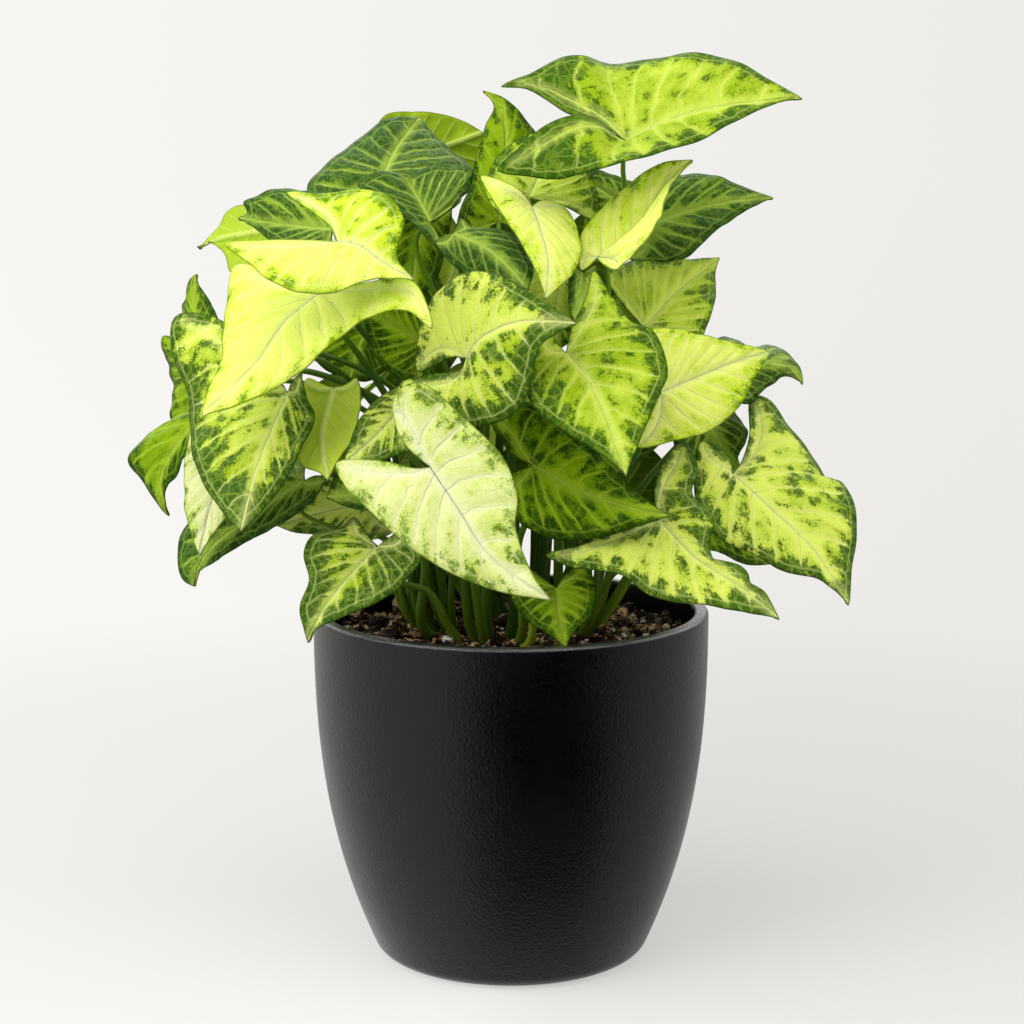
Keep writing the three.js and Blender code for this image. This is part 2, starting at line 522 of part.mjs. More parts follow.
// A plain leaf as rows of points in space.
function plainLeaf({ angle, radius, height, length, dip }) {
  const heading = THREE.MathUtils.degToRad(angle);
  const slope = THREE.MathUtils.degToRad(dip);
  const outwards = new THREE.Vector3(Math.cos(heading), Math.sin(heading), 0);
  const across = new THREE.Vector3(-outwards.y, outwards.x, 0);
  const along = outwards.clone().multiplyScalar(Math.cos(slope)).setZ(-Math.sin(slope));
  const upper = new THREE.Vector3().crossVectors(along, across);
  const junction = outwards.clone().multiplyScalar(radius).setZ(height);
  const place = ([x, y]) => {
    const rise = PLAIN_FOLD * Math.abs(y) - PLAIN_ARCH * x * Math.abs(x);
    return junction.clone()
      .addScaledVector(along, length * x)
      .addScaledVector(across, length * y)
      .addScaledVector(upper, length * rise);
  };
  const side = (sign) => {
    const turn = ([x, y]) => place([x, sign * y]);
    return {
      edge: [PLAIN_LOBE, ...PLAIN_EDGE, [1, 0]].map(turn),
      sinus: [[0, 0], ...PLAIN_SINUS, PLAIN_LOBE].map(turn),
    };
  };
  return { rib: [[0, 0], ...PLAIN_RIB, [1, 0]].map(place), sides: [side(1), side(-1)] };
}

// ---- Blades -------------------------------------------------------------------------------

function smooth(points) {
  return new THREE.CatmullRomCurve3(points, false, 'centripetal');
}

// Lines from the ribs to the outer margin fan out around the junction.
function fan(k) {
  if (k <= LOBE_STEPS) {
    const back = 1 - k / LOBE_STEPS;
    return { lobe: back, margin: LOBE_SHARE * (1 - back ** 1.2) };
  }
  const ahead = (k - LOBE_STEPS) / RIB_STEPS;
  return { rib: ahead ** 1.25, margin: LOBE_SHARE + (1 - LOBE_SHARE) * ahead };
}

// The blade's middle surface: points, whether each lies on the outline, and triangles.
function bladeSurface(rows) {
  const points = [];
  const half = [];
  const triangles = [];
  const add = (point, halfThickness) => {
    points.push(point);
    half.push(halfThickness);
    return points.length - 1;
  };
  const last = LOBE_STEPS + RIB_STEPS;
  const midrib = smooth(rows.rib);
  const junction = add(rows.rib[0], 0);
  const tip = add(rows.rib.at(-1), 0);
  const ribRow = [];
  for (let k = LOBE_STEPS + 1; k < last; k += 1) {
    ribRow.push(add(midrib.getPointAt(fan(k).rib), RIB_HALF_THICKNESS));
  }
  rows.sides.forEach(({ edge, sinus }, number) => {
    const face = (a, b, c) => triangles.push(number === 0 ? [a, b, c] : [a, c, b]);
    const outer = smooth(edge);
    const inner = smooth(sinus);
    const lobe = add(edge[0], 0);
    const spine = [lobe];
    const middle = [lobe];
    const margin = [lobe];
    const notch = [lobe];
    for (let k = 1; k < last; k += 1) {
      const at = fan(k);
      const edgePoint = outer.getPointAt(at.margin);
      if (k < LOBE_STEPS) {
        const notchPoint = inner.getPointAt(at.lobe);
        const ribPoint = notchPoint.clone().lerp(edgePoint, LOBE_RIB_SHARE * Math.sqrt(at.lobe));
        spine.push(add(ribPoint, RIB_HALF_THICKNESS));
        notch.push(add(notchPoint, 0));
      } else {
        spine.push(k === LOBE_STEPS ? junction : ribRow[k - LOBE_STEPS - 1]);
      }
      const halfway = points[spine[k]].clone().lerp(edgePoint, 0.5);
      middle.push(add(halfway, BLADE_HALF_THICKNESS));
      margin.push(add(edgePoint, 0));
    }
    notch.push(junction);
    for (const row of [spine, middle, margin]) row.push(tip);
    for (const [near, far] of [[spine, middle], [middle, margin], [notch, spine]]) {
      for (let k = 1; k < near.length; k += 1) {
        if (near[k] !== far[k]) face(near[k - 1], near[k], far[k]);
        if (near[k - 1] !== far[k - 1]) face(near[k - 1], far[k], far[k - 1]);
      }
    }
  });
  return { points, half, triangles };
}

// Vertex normals of a surface, weighted by the size of the triangles around each point.
function surfaceNormals({ points, triangles }) {
  const normals = points.map(() => new THREE.Vector3());
  for (const [a, b, c] of triangles) {
    const ab = points[b].clone().sub(points[a]);
    const ac = points[c].clone().sub(points[a]);
    const turn = ab.cross(ac);
    for (const i of [a, b, c]) normals[i].add(turn);
  }
  return normals.map((n) => n.normalize());
}

// A closed lens: both faces share the outline, and the ribs are its thickest line.
function bladeGeometry(rows) {
  const surface = bladeSurface(rows);
  const normals = surfaceNormals(surface);
  const position = [];
  const upper = [];
  const lower = [];
  surface.points.forEach((point, i) => {
    const half = surface.half[i];
    upper.push(position.length / 3);
    position.push(...point.clone().addScaledVector(normals[i], half).toArray());
    lower.push(position.length / 3 - (half > 0 ? 0 : 1));
    if (half > 0) position.push(...point.clone().addScaledVector(normals[i], -half).toArray());
  });
  const index = [];
  for (const [a, b, c] of surface.triangles) {
    index.push(upper[a], upper[b], upper[c], lower[a], lower[c], lower[b]);
  }
  const geometry = new THREE.BufferGeometry();
  geometry.setAttribute('position', new THREE.Float32BufferAttribute(position, 3));
  geometry.setIndex(index);
  return geometry;
}

// ---- Stalks -------------------------------------------------------------------------------

// A tapering round rod with closed ends along a curve.
function rodGeometry(curve, startRadius, endRadius) {
  const frames = curve.computeFrenetFrames(STALK_STEPS, false);
  const position = [];
  for (let i = 0; i <= STALK_STEPS; i += 1) {
    const centre = curve.getPointAt(i / STALK_STEPS);
    const radius = THREE.MathUtils.lerp(startRadius, endRadius, i / STALK_STEPS);
    for (let j = 0; j < STALK_SIDES; j += 1) {
      const turn = (2 * Math.PI * j) / STALK_SIDES;
      const point = centre.clone()
        .addScaledVector(frames.normals[i], radius * Math.cos(turn))
        .addScaledVector(frames.binormals[i], radius * Math.sin(turn));
      position.push(...point.toArray());
    }
  }
  const index = [];
  for (let i = 0; i < STALK_STEPS; i += 1) {
    for (let j = 0; j < STALK_SIDES; j += 1) {
      const a = i * STALK_SIDES + j;
      const b = i * STALK_SIDES + ((j + 1) % STALK_SIDES);
      index.push(a, b, b + STALK_SIDES, a, b + STALK_SIDES, a + STALK_SIDES);
    }
  }
  const top = STALK_STEPS * STALK_SIDES;
  for (let j = 2; j < STALK_SIDES; j += 1) {
    index.push(0, j, j - 1, top, top + j - 1, top + j);
  }
  const geometry = new THREE.BufferGeometry();
  geometry.setAttribute('position', new THREE.Float32BufferAttribute(position, 3));
  geometry.setIndex(index);
  return geometry;
}

// The direction that the blade's underside faces at the junction.
function undersideAtJunction(rows) {
  const surface = bladeSurface(rows);
  const normal = surfaceNormals(surface)[0];
  const inwards = surface.points[0].clone().setZ(0).negate();
  if (Math.abs(normal.z) > 0.45) return normal.z > 0 ? normal.negate() : normal;
  return normal.dot(inwards) < 0 ? normal.negate() : normal;
}

// A stalk rises from its crown, bends outwards and meets its blade from below.
function stalkGeometry({ rows, via = [], seat = SEAT_DEPTH }, [x, y]) {
  const junction = rows.rib[0];
  const under = undersideAtJunction(rows);
  const end = junction.clone().addScaledVector(under, seat);
  const toLeaf = end.clone().sub(new THREE.Vector3(x, y, 0)).setZ(0).normalize();
  const start = new THREE.Vector3(x, y, CROWN_TOP - 4).addScaledVector(toLeaf, 2);
  const rise = start.clone().lerp(end, STALK_RISE_OUT);
  rise.z = THREE.MathUtils.lerp(start.z, end.z, STALK_RISE_UP);
  const approach = end.clone().addScaledVector(under, 7);
  approach.z -= 5;
  const route = via.length > 0 ? via.map((p) => new THREE.Vector3(...p)) : [rise];
  return rodGeometry(smooth([start, ...route, approach, end]), STALK_BASE_RADIUS, STALK_END_RADIUS);
}

// ---- Joining and cutting ------------------------------------------------------------------

const wasm = await Module();
wasm.setup();

function toSolid(geometry) {
  const bare = geometry.clone();
  bare.deleteAttribute('normal');
  bare.deleteAttribute('uv');
  const merged = mergeVertices(bare, 1e-4);
  return new wasm.Manifold(new wasm.Mesh({
    numProp: 3,
    vertProperties: new Float32Array(merged.attributes.position.array),
    triVerts: new Uint32Array(merged.index.array),
  }));
}

function fromSolid(solid) {
  const mesh = solid.getMesh();
  const geometry = new THREE.BufferGeometry();
  geometry.setAttribute('position', new THREE.Float32BufferAttribute(mesh.vertProperties, 3));
  geometry.setIndex([...mesh.triVerts]);
  return geometry;
}

// ---- Crowns, soil and pot -----------------------------------------------------------------

// A short upright post from one height to another.
function postGeometry([x, y], radius, bottom, top) {
  const post = new THREE.CylinderGeometry(radius * 0.8, radius, top - bottom, 12);
  post.rotateX(Math.PI / 2);
  post.translate(x, y, (bottom + top) / 2);
  return post;
}

// Turns a profile of [radius, height] about the pot's axis.
function turned(profile) {
  const lathe = new THREE.LatheGeometry(profile.map(([r, z]) => new THREE.Vector2(r, z)), POT_SIDES);
  lathe.rotateX(Math.PI / 2);
  return lathe;
}

function potRadius(z) {
  return POT_FOOT_RADIUS + POT_FLARE * (1 - (1 - z / POT_HEIGHT) ** POT_FLARE_POWER);
}

function innerRadius(z) {
  return potRadius(z) - POT_WALL;
}

function wallRow(radiusAt, bottom, top, steps) {
  const row = [];
  for (let i = 0; i <= steps; i += 1) {
    const z = THREE.MathUtils.lerp(bottom, top, (i / steps) ** POT_STEP_CROWDING);
    row.push([radiusAt(z), z]);
  }
  return row;
}

// A quarter or half round, from one angle to another.
function arcRow([cx, cz], radius, from, to, steps) {
  const row = [];
  for (let i = 1; i < steps; i += 1) {
    const a = THREE.MathUtils.lerp(from, to, i / steps);
    row.push([cx + radius * Math.cos(a), cz + radius * Math.sin(a)]);
  }
  return row;
}

function potGeometry() {
  const rimRound = POT_WALL / 2;
  const rimHeight = POT_HEIGHT - rimRound;
  const rimCentre = [potRadius(rimHeight) - rimRound, rimHeight];
  const slope = (POT_FLARE * POT_FLARE_POWER) / POT_HEIGHT;
  const lean = Math.atan(slope * (1 - POT_FOOT_FILLET / POT_HEIGHT) ** 0.9); // of the wall, where it meets the foot
  const wallStart = POT_FOOT_FILLET * (1 - Math.sin(lean));
  const footRadius = potRadius(wallStart) - POT_FOOT_FILLET * Math.cos(lean);
  return turned([
    [0, 0],
    [footRadius, 0],
    ...arcRow([footRadius, POT_FOOT_FILLET], POT_FOOT_FILLET, -Math.PI / 2, -lean, 3),
    ...wallRow(potRadius, wallStart, rimHeight, POT_WALL_STEPS),
    ...arcRow(rimCentre, rimRound, 0, Math.PI, 6),
    ...wallRow(innerRadius, POT_FLOOR, rimHeight, POT_LINING_STEPS).reverse(),
    [0, POT_FLOOR],
  ]);
}

function soilGeometry() {
  const radiusAt = (z) => innerRadius(z) - CLEARANCE - 0.1;
  const mound = SOIL_CROWN_HEIGHT - SOIL_EDGE_HEIGHT;
  const rim = radiusAt(SOIL_EDGE_HEIGHT);
  const top = [0.8, 0.55, 0.3].map((r) => [rim * r, SOIL_EDGE_HEIGHT + mound * (1 - r * r)]);
  return turned([
    [0, POT_FLOOR + CLEARANCE],
    ...wallRow(radiusAt, POT_FLOOR + CLEARANCE, SOIL_EDGE_HEIGHT, POT_LINING_STEPS),
    ...top,
    [0, SOIL_CROWN_HEIGHT],
  ]);
}

// ---- The whole plant ----------------------------------------------------------------------

const plant = new THREE.Group();
plant.name = 'arrowhead_plant';

function addPiece(name, geometry, finish) {
  geometry.computeVertexNormals();
  const mesh = new THREE.Mesh(geometry, material(finish));
  mesh.name = name;
  plant.add(mesh);
}

const leaves = Object.entries(LEAVES).map(([name, leaf]) => ({ ...leaf, name, rows: drawnLeaf(leaf) }));
BACK_LEAVES.forEach((leaf, i) => {
  leaves.push({ ...leaf, clump: 'back', name: `back_${i + 1}`, rows: plainLeaf(leaf) });
});

addPiece('pot', potGeometry(), 'pot');

let soil = toSolid(soilGeometry());
for (const spot of Object.values(CLUMPS)) {
  const pocket = postGeometry(spot, CROWN_RADIUS + 1.7 * CLEARANCE, CROWN_BOTTOM - CLEARANCE, CROWN_TOP);
  soil = soil.subtract(toSolid(pocket));
}
addPiece('soil', fromSolid(soil), 'soil');

for (const [clump, spot] of Object.entries(CLUMPS)) {
  let stalks = toSolid(postGeometry(spot, CROWN_RADIUS, CROWN_BOTTOM, CROWN_TOP));
  for (const leaf of leaves.filter((one) => one.clump === clump)) {
    stalks = stalks.add(toSolid(stalkGeometry(leaf, spot)));
  }
  addPiece(`stalks_${clump}`, fromSolid(stalks), 'stalk');
}

for (const { name, rows, finish } of leaves) {
  addPiece(`leaf_${name}`, bladeGeometry(rows), finish);
}

export default plant;
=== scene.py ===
"""A potted arrowhead plant: its pot, soil, stalks and leaves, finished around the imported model.

Lengths are millimetres, turned to metres only where a mesh, a lamp or the camera is made.
The frame is the model's own: +Z up from the pot's foot, the plant's front towards -Y.
"""
import logging
import math
from collections.abc import Sequence
from dataclasses import dataclass, field
from enum import Enum
from typing import Any

import bpy
import numpy as np
from bpy.types import Material, Node, NodeSocket as Socket, NodeTree, Object
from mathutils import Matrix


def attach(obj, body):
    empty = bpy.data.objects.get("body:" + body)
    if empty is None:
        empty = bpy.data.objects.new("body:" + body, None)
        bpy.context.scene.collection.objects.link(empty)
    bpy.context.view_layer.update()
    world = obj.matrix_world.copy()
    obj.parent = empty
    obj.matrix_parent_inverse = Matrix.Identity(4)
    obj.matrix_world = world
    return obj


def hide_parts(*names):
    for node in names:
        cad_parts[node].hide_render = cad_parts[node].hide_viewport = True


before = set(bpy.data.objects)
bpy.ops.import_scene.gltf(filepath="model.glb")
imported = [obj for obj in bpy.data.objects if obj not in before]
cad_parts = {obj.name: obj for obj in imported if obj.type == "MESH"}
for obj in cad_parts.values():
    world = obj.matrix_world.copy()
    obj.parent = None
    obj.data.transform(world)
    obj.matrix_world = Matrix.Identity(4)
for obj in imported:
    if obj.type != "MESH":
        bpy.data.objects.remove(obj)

MM = 0.001
BODY = "root"
SEED = 40
VIEW_DISTANCE = 889.0  # from the pot's axis to the eye that the leaves are drawn from
VIEW_HEIGHT = 318.0
UP = np.array([0.0, 0.0, 1.0])

Point = tuple[float, ...]
Colour = tuple[float, float, float]
log = logging.getLogger("arrowhead_plant")


class Tint(Enum):
    """How a leaf is coloured, from the palest to the darkest."""

    CREAM = "cream"
    YELLOW = "yellow"
    LIME = "lime"
    MOTTLED = "mottled"
    GREEN = "green"
    DARK = "dark"


class Clump(Enum):
    """The clumps of stalks, by where they leave the soil."""

    LEFT = (-13.0, -6.0)
    FRONT = (-6.0, -24.0)
    RIGHT = (17.0, -8.0)
    BACK = (0.0, 16.0)


class Face(Enum):
    """The two faces of a leaf."""

    UPPER = "upper"
    UNDER = "under"


@dataclass(frozen=True)
class Shading:
    """How light or dark the parts of a leaf are: lighter below zero, darker above.

    Besides the leaf's own tones, this holds painted shade and painted light.

    Attributes:
        whole: all of it; besides the leaf's own tone, this is painted shade on some leaves and painted light
            on others that lie in shade or are lit through from behind.
        one: towards the margin of one half.
        other: towards the margin of the other half.
        lobes: towards the tips of the basal lobes.
        tip: towards the leaf's tip.
    """

    whole: float = 0.0
    one: float = 0.0
    other: float = 0.0
    lobes: float = 0.0
    tip: float = 0.0


@dataclass(frozen=True)
class Side:
    """Half of a drawn leaf. Points are (across, up[, forward]) on the plane through the pot's axis.

    Attributes:
        lobe: the tip of the basal lobe.
        sinus: points from the junction towards the lobe's tip.
        forward: the distance in front of the axis where the half is widest.
        edge: points of the outer margin, from the lobe towards the leaf's tip.
        drop: how far this half's margin curls down, as a share of its width.
    """

    lobe: Point
    sinus: Sequence[Point]
    forward: float
    edge: Sequence[Point]
    drop: float = 0.0


@dataclass(frozen=True)
class Drawn:
    """A leaf as it is seen from in front.

    Attributes:
        clump: the stalks that it belongs to.
        tint: its colouring.
        junction: where the stalk meets the blade.
        rib: points along the midrib.
        tip: the leaf's tip.
        one: one half of the blade.
        other: the other half.
        via: points in space that the stalk passes.
        shading: its lighter and darker parts.
        shows_under: whether the leaf turns its underside to the front.
    """

    clump: Clump
    tint: Tint
    junction: Point
    rib: Sequence[Point]
    tip: Point
    one: Side
    other: Side
    via: Sequence[Point] = ()
    shading: Shading = Shading()
    shows_under: bool = False


@dataclass(frozen=True)
class Plain:
    """A leaf of the species' plain shape, pointing away from the pot's axis.

    Attributes:
        angle: the direction that it grows in, in degrees (0 = right, 90 = back).
        radius: how far its junction lies from the axis.
        height: how high its junction lies.
        length: the midrib's length.
        dip: how far the midrib falls below the horizontal, in degrees.
        tint: its colouring.
        via: points in space that the stalk passes.
    """

    angle: float
    radius: float
    height: float
    length: float
    dip: float
    tint: Tint
    via: Sequence[Point] = ()


# A leaf's shading holds its own tones and also painted shade and painted light: it darkens some leaves and
# lightens others that lie in shade or are lit through from behind.
LEAVES: dict[str, Drawn] = {
    "top_right": Drawn(
        Clump.RIGHT, Tint.LIME, (45.5, 331, 4), [(60, 338), (80, 343.5)], (115, 347.5, 8),
        Side((-4, 352, -14), [(38, 336), (30, 339), (22, 341.5), (15, 346), (6, 351)], -26,
            [(8, 357), (20, 363), (28, 363.5), (40, 361.2), (60, 363), (75, 364.5), (90, 361.3),
            (101, 355)]),
        Side((-5.5, 319, 26), [(41.5, 333), (36, 338), (26, 340.8), (14, 337), (2, 327)], 30,
            [(8, 316.5), (20, 315.5), (30, 319), (45, 322.5), (58, 325.5), (72, 330), (88, 338),
            (104, 345)]),
        via=[(22, -2, 215), (46, 6, 300)],
        shading=Shading(whole=0.07, one=0.1, other=0.1, lobes=1.7),
    ),
    "top_centre": Drawn(
        Clump.BACK, Tint.GREEN, (-5, 299, -22), [(-2, 325), (-4, 343.5)], (-11.5, 350.5, -44),
        Side((-22, 288, -16), [(-13, 293)], -30, [(-20.5, 303), (-16, 314), (-14.5, 322), (-12, 331),
            (-10, 337), (-6.8, 344)]),
        Side((10, 292, -18), [(3, 295)], -32, [(16, 310), (13, 328), (10, 334), (5.5, 339.5),
            (2.5, 343), (-3, 347.5)]),
        shading=Shading(whole=-0.15),
    ),
    "top_inner_pale": Drawn(
        Clump.BACK, Tint.LIME, (7, 308.5, -4), [(11, 317)], (17, 335, -16),
        Side((-3, 301, 2), [(3, 304)], -10, [(-10, 310), (-7, 322), (4, 332)]),
        Side((33.5, 299.5, 0), [(20, 305.5)], -8, [(35, 305), (32, 318), (25, 328)]),
        via=[(-3, 14, 240), (0, 14, 280)],
    ),
    "centre_top_cream": Drawn(
        Clump.FRONT, Tint.YELLOW, (8.5, 305.5, 20), [(11.5, 297), (15, 284)], (14, 268, 40),
        Side((-12, 317, 8), [(3, 312)], 26, [(-9, 310), (-3, 301), (4, 290), (10, 279)]),
        Side((19.5, 306, 12), [(13, 307.7)], 20, [(25, 300), (28, 288), (25.5, 279), (19, 272.5)]),
        shading=Shading(whole=-0.1),
    ),
    "right_upper_yellow": Drawn(
        Clump.RIGHT, Tint.YELLOW, (34, 284.5, 22), [(46, 291), (60, 311)], (72, 323.5, 8),
        Side((28, 279.8, 24), [(31.5, 281.5)], 10, [(27.8, 294), (35, 303), (48, 315), (60, 322)]),
        Side((42, 280, 30), [(38, 281)], 34, [(50, 287), (57, 295.5), (61, 307), (65.5, 316)]),
        via=[(30, -8, 230), (38, -13, 264)],
        shading=Shading(whole=-0.25, one=0.4, other=-0.2),
    ),
    "right_upper_dark": Drawn(
        Clump.BACK, Tint.DARK, (53, 297, -34), [(70, 303), (88, 307)], (104.5, 308.5, -46),
        Side((44, 312, -46), [(49, 303)], -52, [(58, 316), (75, 318), (88, 314.5), (97, 311)]),
        Side((47, 284.5, -22), [(50, 291)], -22, [(60, 281), (70, 285), (81, 294.5), (93, 303)]),
        via=[(20, 14, 235), (40, 18, 275)],
        shading=Shading(lobes=0.1),
    ),
    "top_behind_stalk": Drawn(
        Clump.BACK, Tint.DARK, (50, 300, -58), [(40, 309)], (27, 316, -62),
        Side((58, 305, -60), [(54, 302)], -66, [(52, 313), (44, 316), (33, 319.5)]),
        Side((44, 292, -56), [(47, 297)], -58, [(38, 296), (31, 303), (27, 311)]),
        via=[(22, 16, 240), (50, 30, 280)],
    ),
    "top_left_back": Drawn(
        Clump.BACK, Tint.DARK, (-50.5, 317.5, -34), [(-46, 327)], (-36, 340, -72),
        Side((-70, 302, -22), [(-59, 309)], -40, [(-81, 311), (-75.5, 320), (-61, 330.5), (-50, 339)]),
        Side((-30, 304, -30), [(-42, 312)], -44, [(-15, 313), (-15, 320), (-24, 327), (-31, 334)]),
        shading=Shading(whole=0.25),
    ),
    "top_back_lime": Drawn(
        Clump.BACK, Tint.LIME, (-45, 322, -82), [(-30, 327)], (-11, 334, -74),
        Side((-55, 328, -84), [(-50, 325)], -86, [(-50, 340.5), (-38, 342), (-27, 341), (-18, 338)]),
        Side((-48, 312, -78), [(-46, 317)], -76, [(-34, 310), (-18, 312), (-11, 322)]),
        via=[(-14, 20, 240), (-24, 33, 284), (-52, 44, 294)],
        shading=Shading(whole=0.2),
        shows_under=True,
    ),
    "top_left_front": Drawn(
        Clump.BACK, Tint.DARK, (-32, 299, -6), [(-37, 308)], (-42, 316.5, -22),
        Side((-18, 280, 4), [(-27, 291)], 0, [(-27, 286), (-36, 295), (-50, 308), (-61, 313),
            (-52, 319)]),
        Side((-21, 308.5, -8), [(-26, 302.5)], -16, [(-16, 313), (-15.5, 319.5), (-30, 321)]),
        shading=Shading(whole=0.3),
    ),
    "centre_dark": Drawn(
        Clump.LEFT, Tint.DARK, (-23, 294.5, 14), [(-12, 290), (-3, 283)], (7, 272, 34),
        Side((-20, 300.5, 8), [(-21.5, 297.5)], 8, [(-13, 295.2), (-3, 296), (4, 290), (9, 280)]),
        Side((-30, 291, 14), [(-27, 293.5)], 22, [(-28, 287), (-20, 279), (-8, 274)]),
        shading=Shading(whole=0.25, tip=0.3),
    ),
    "left_top_yellow": Drawn(
        Clump.LEFT, Tint.YELLOW, (-69.5, 291.5, 60), [(-61, 290), (-51, 283)], (-38.5, 276, 70),
        Side((-89, 310.5, 40), [(-72, 297), (-81, 304)], 44, [(-75, 310), (-60, 312), (-49, 309),
            (-42.5, 300), (-45.5, 285)]),
        Side((-114, 290.2, 56), [(-97, 291.8)], 76, [(-104, 282), (-96, 275), (-85, 271), (-70, 271),
            (-55, 276)]),
        via=[(-38, -12, 225), (-64, -26, 266)],
        shading=Shading(one=0.5, other=-0.15),
    ),
    "left_top_dark": Drawn(
        Clump.LEFT, Tint.DARK, (-71.5, 296, 26), [(-92, 298)], (-109, 300.5, 14),
        Side((-66, 306, 20), [(-69.5, 301)], 10, [(-80, 311), (-92, 312), (-100, 309.5), (-106.5, 306.5),
            (-105, 302.5)]),
        Side((-68, 285, 34), [(-71, 290.5)], 32, [(-84, 287), (-96, 291.5), (-103, 297)]),
    ),
    "left_pale_behind": Drawn(
        Clump.LEFT, Tint.LIME, (-92, 296, 2), [(-105, 294), (-116, 292)], (-124.5, 288, -26),
        Side((-84, 305, -12), [(-88, 300)], -30, [(-97, 305), (-110, 304.5), (-115.5, 298),
            (-120.5, 292.5)]),
        Side((-88, 282, 12), [(-90, 289)], 4, [(-100, 278), (-111.5, 278.5), (-114, 285.5),
            (-119.5, 290.2)]),
        shading=Shading(whole=-0.3),
        shows_under=True,
    ),
    "left_yellow": Drawn(
        Clump.LEFT, Tint.YELLOW, (-77, 270.5, 46), [(-90, 260), (-103, 242)], (-125, 221, 66),
        Side((-110, 282, 24), [(-91, 277)], 34, [(-113.5, 270), (-115.5, 253), (-118, 240),
            (-122.5, 230)]),
        Side((-31.5, 256, 72), [(-60, 274.5, 52), (-40, 276, 62), (-33.5, 266, 70)], 66, [(-42, 263.5),
            (-58, 260.5), (-75, 247), (-90, 235.5), (-106, 227)]),
        via=[(-42, -12, 215), (-66, -24, 256)],
        shading=Shading(whole=-0.2),
    ),
    "left_small_upright": Drawn(
        Clump.LEFT, Tint.GREEN, (-124, 251, -14), [(-127, 266)], (-126, 278.5, -34),
        Side((-131, 246, -34), [(-127, 249)], -40, [(-132.5, 255), (-130.8, 267), (-129, 275)]),
        Side((-117, 247, -10), [(-121, 249)], -12, [(-116, 256), (-121.5, 269), (-125, 274.5)]),
        via=[(-40, 4, 224), (-94, 10, 250)],
    ),
    "left_mottled": Drawn(
        Clump.LEFT, Tint.MOTTLED, (-90, 231, 36), [(-95, 220), (-103, 200)], (-110, 174, 62),
        Side((-135, 261, -8), [(-112, 257), (-124, 262.5)], 4, [(-136.5, 248), (-131, 233),
            (-129.5, 212), (-125.5, 195), (-118, 183)]),
        Side((-85, 238, 32), [(-88, 235.5)], 46, [(-82, 228), (-79, 221), (-85, 207), (-93, 192.5),
            (-104, 179)]),
        via=[(-52, -8, 222), (-80, -18, 246)],
        shading=Shading(whole=0.05, one=0.25, other=-0.1, tip=1.1),
    ),
    "far_left_hanging": Drawn(
        Clump.LEFT, Tint.GREEN, (-122, 225, -12), [(-135, 210), (-142.5, 193)], (-139.5, 180, -24),
        Side((-118, 236, -30), [(-120, 230)], -46, [(-131, 221), (-144, 215), (-154.5, 203.5),
            (-148, 192), (-143, 184.5)]),
        Side((-110, 222, -2), [(-116, 224)], -4, [(-118, 210), (-131, 205), (-136, 196), (-140, 192)]),
        via=[(-40, 2, 205), (-92, 4, 235)],
    ),
    "far_left_behind": Drawn(
        Clump.LEFT, Tint.GREEN, (-117, 240, -30), [(-126, 228)], (-134, 212, -62),
        Side((-139.5, 253.5, -58), [(-128, 247)], -66, [(-140.5, 249), (-137, 240), (-136.8, 226),
            (-137, 218)]),
        Side((-104, 236, -28), [(-111, 239)], -34, [(-106, 222), (-120, 212)]),
        via=[(-38, 4, 212), (-82, 12, 238)],
    ),
    "left_cream": Drawn(
        Clump.LEFT, Tint.CREAM, (-114, 208, 12), [(-122, 185)], (-127, 164, 18),
        Side((-128, 216, 4), [(-121, 212)], 4, [(-132, 203), (-132.5, 186), (-130.5, 174)]),
        Side((-101, 210, 14), [(-107, 210)], 26, [(-102, 196), (-114, 182), (-122, 171.5)]),
        via=[(-55, -6, 215), (-95, -14, 222)],
    ),
    "left_low_dark": Drawn(
        Clump.LEFT, Tint.DARK, (-84, 195, 4), [(-104, 181), (-124, 165)], (-129.5, 151, -2),
        Side((-82, 210, -24), [(-83, 203)], -30, [(-100, 208), (-122, 190), (-133.5, 173), (-136, 162),
            (-134, 154)]),
        Side((-75, 196, 10), [(-79, 197)], 8, [(-80, 187), (-96, 175.5), (-112, 167.3), (-121, 161),
            (-127.5, 157)]),
    ),
    "left_inner_lime": Drawn(
        Clump.LEFT, Tint.YELLOW, (-71, 231.5, 20), [(-76, 214)], (-74, 194.5, 46),
        Side((-82, 236, 14), [(-76, 234)], 26, [(-88, 222), (-87, 205), (-84, 200.5), (-77.5, 197.8)]),
        Side((-62, 236, 18), [(-66, 234)], 32, [(-60.5, 226), (-64, 212), (-71, 201)]),
        shading=Shading(whole=-0.7),
        shows_under=True,
    ),
    "left_behind_stalks": Drawn(
        Clump.BACK, Tint.GREEN, (-54, 262, -24), [(-62, 248)], (-65, 236, -16),
        Side((-64, 272, -28), [(-60, 266)], -26, [(-78, 262), (-82, 250), (-75, 240)]),
        Side((-44, 266, -20), [(-48, 264)], -18, [(-44, 252), (-50, 240), (-58, 235)]),
        shading=Shading(whole=0.3),
    ),
    "left_inner_green": Drawn(
        Clump.FRONT, Tint.MOTTLED, (-45, 224, 46), [(-55, 213)], (-68, 201.5, 54),
        Side((-42, 234, 38), [(-43.5, 229)], 42, [(-52, 229.5), (-60.5, 221), (-66, 208)]),
        Side((-34, 222, 48), [(-40, 224)], 54, [(-38, 209), (-50, 203.8), (-61, 200.5)]),
        shading=Shading(whole=0.1),
    ),
    "left_inner_dark": Drawn(
        Clump.LEFT, Tint.GREEN, (-34, 250, 38), [(-47, 258)], (-60, 266, 26),
        Side((-27, 254, 40), [(-30, 252)], 40, [(-33, 264), (-46, 270), (-56, 270)]),
        Side((-36, 236, 38), [(-35, 243)], 32, [(-46, 237), (-53, 243), (-58, 256)]),
    ),
    "left_hidden_dark": Drawn(
        Clump.LEFT, Tint.DARK, (-52, 192, 34), [(-62, 189)], (-75, 188, 36),
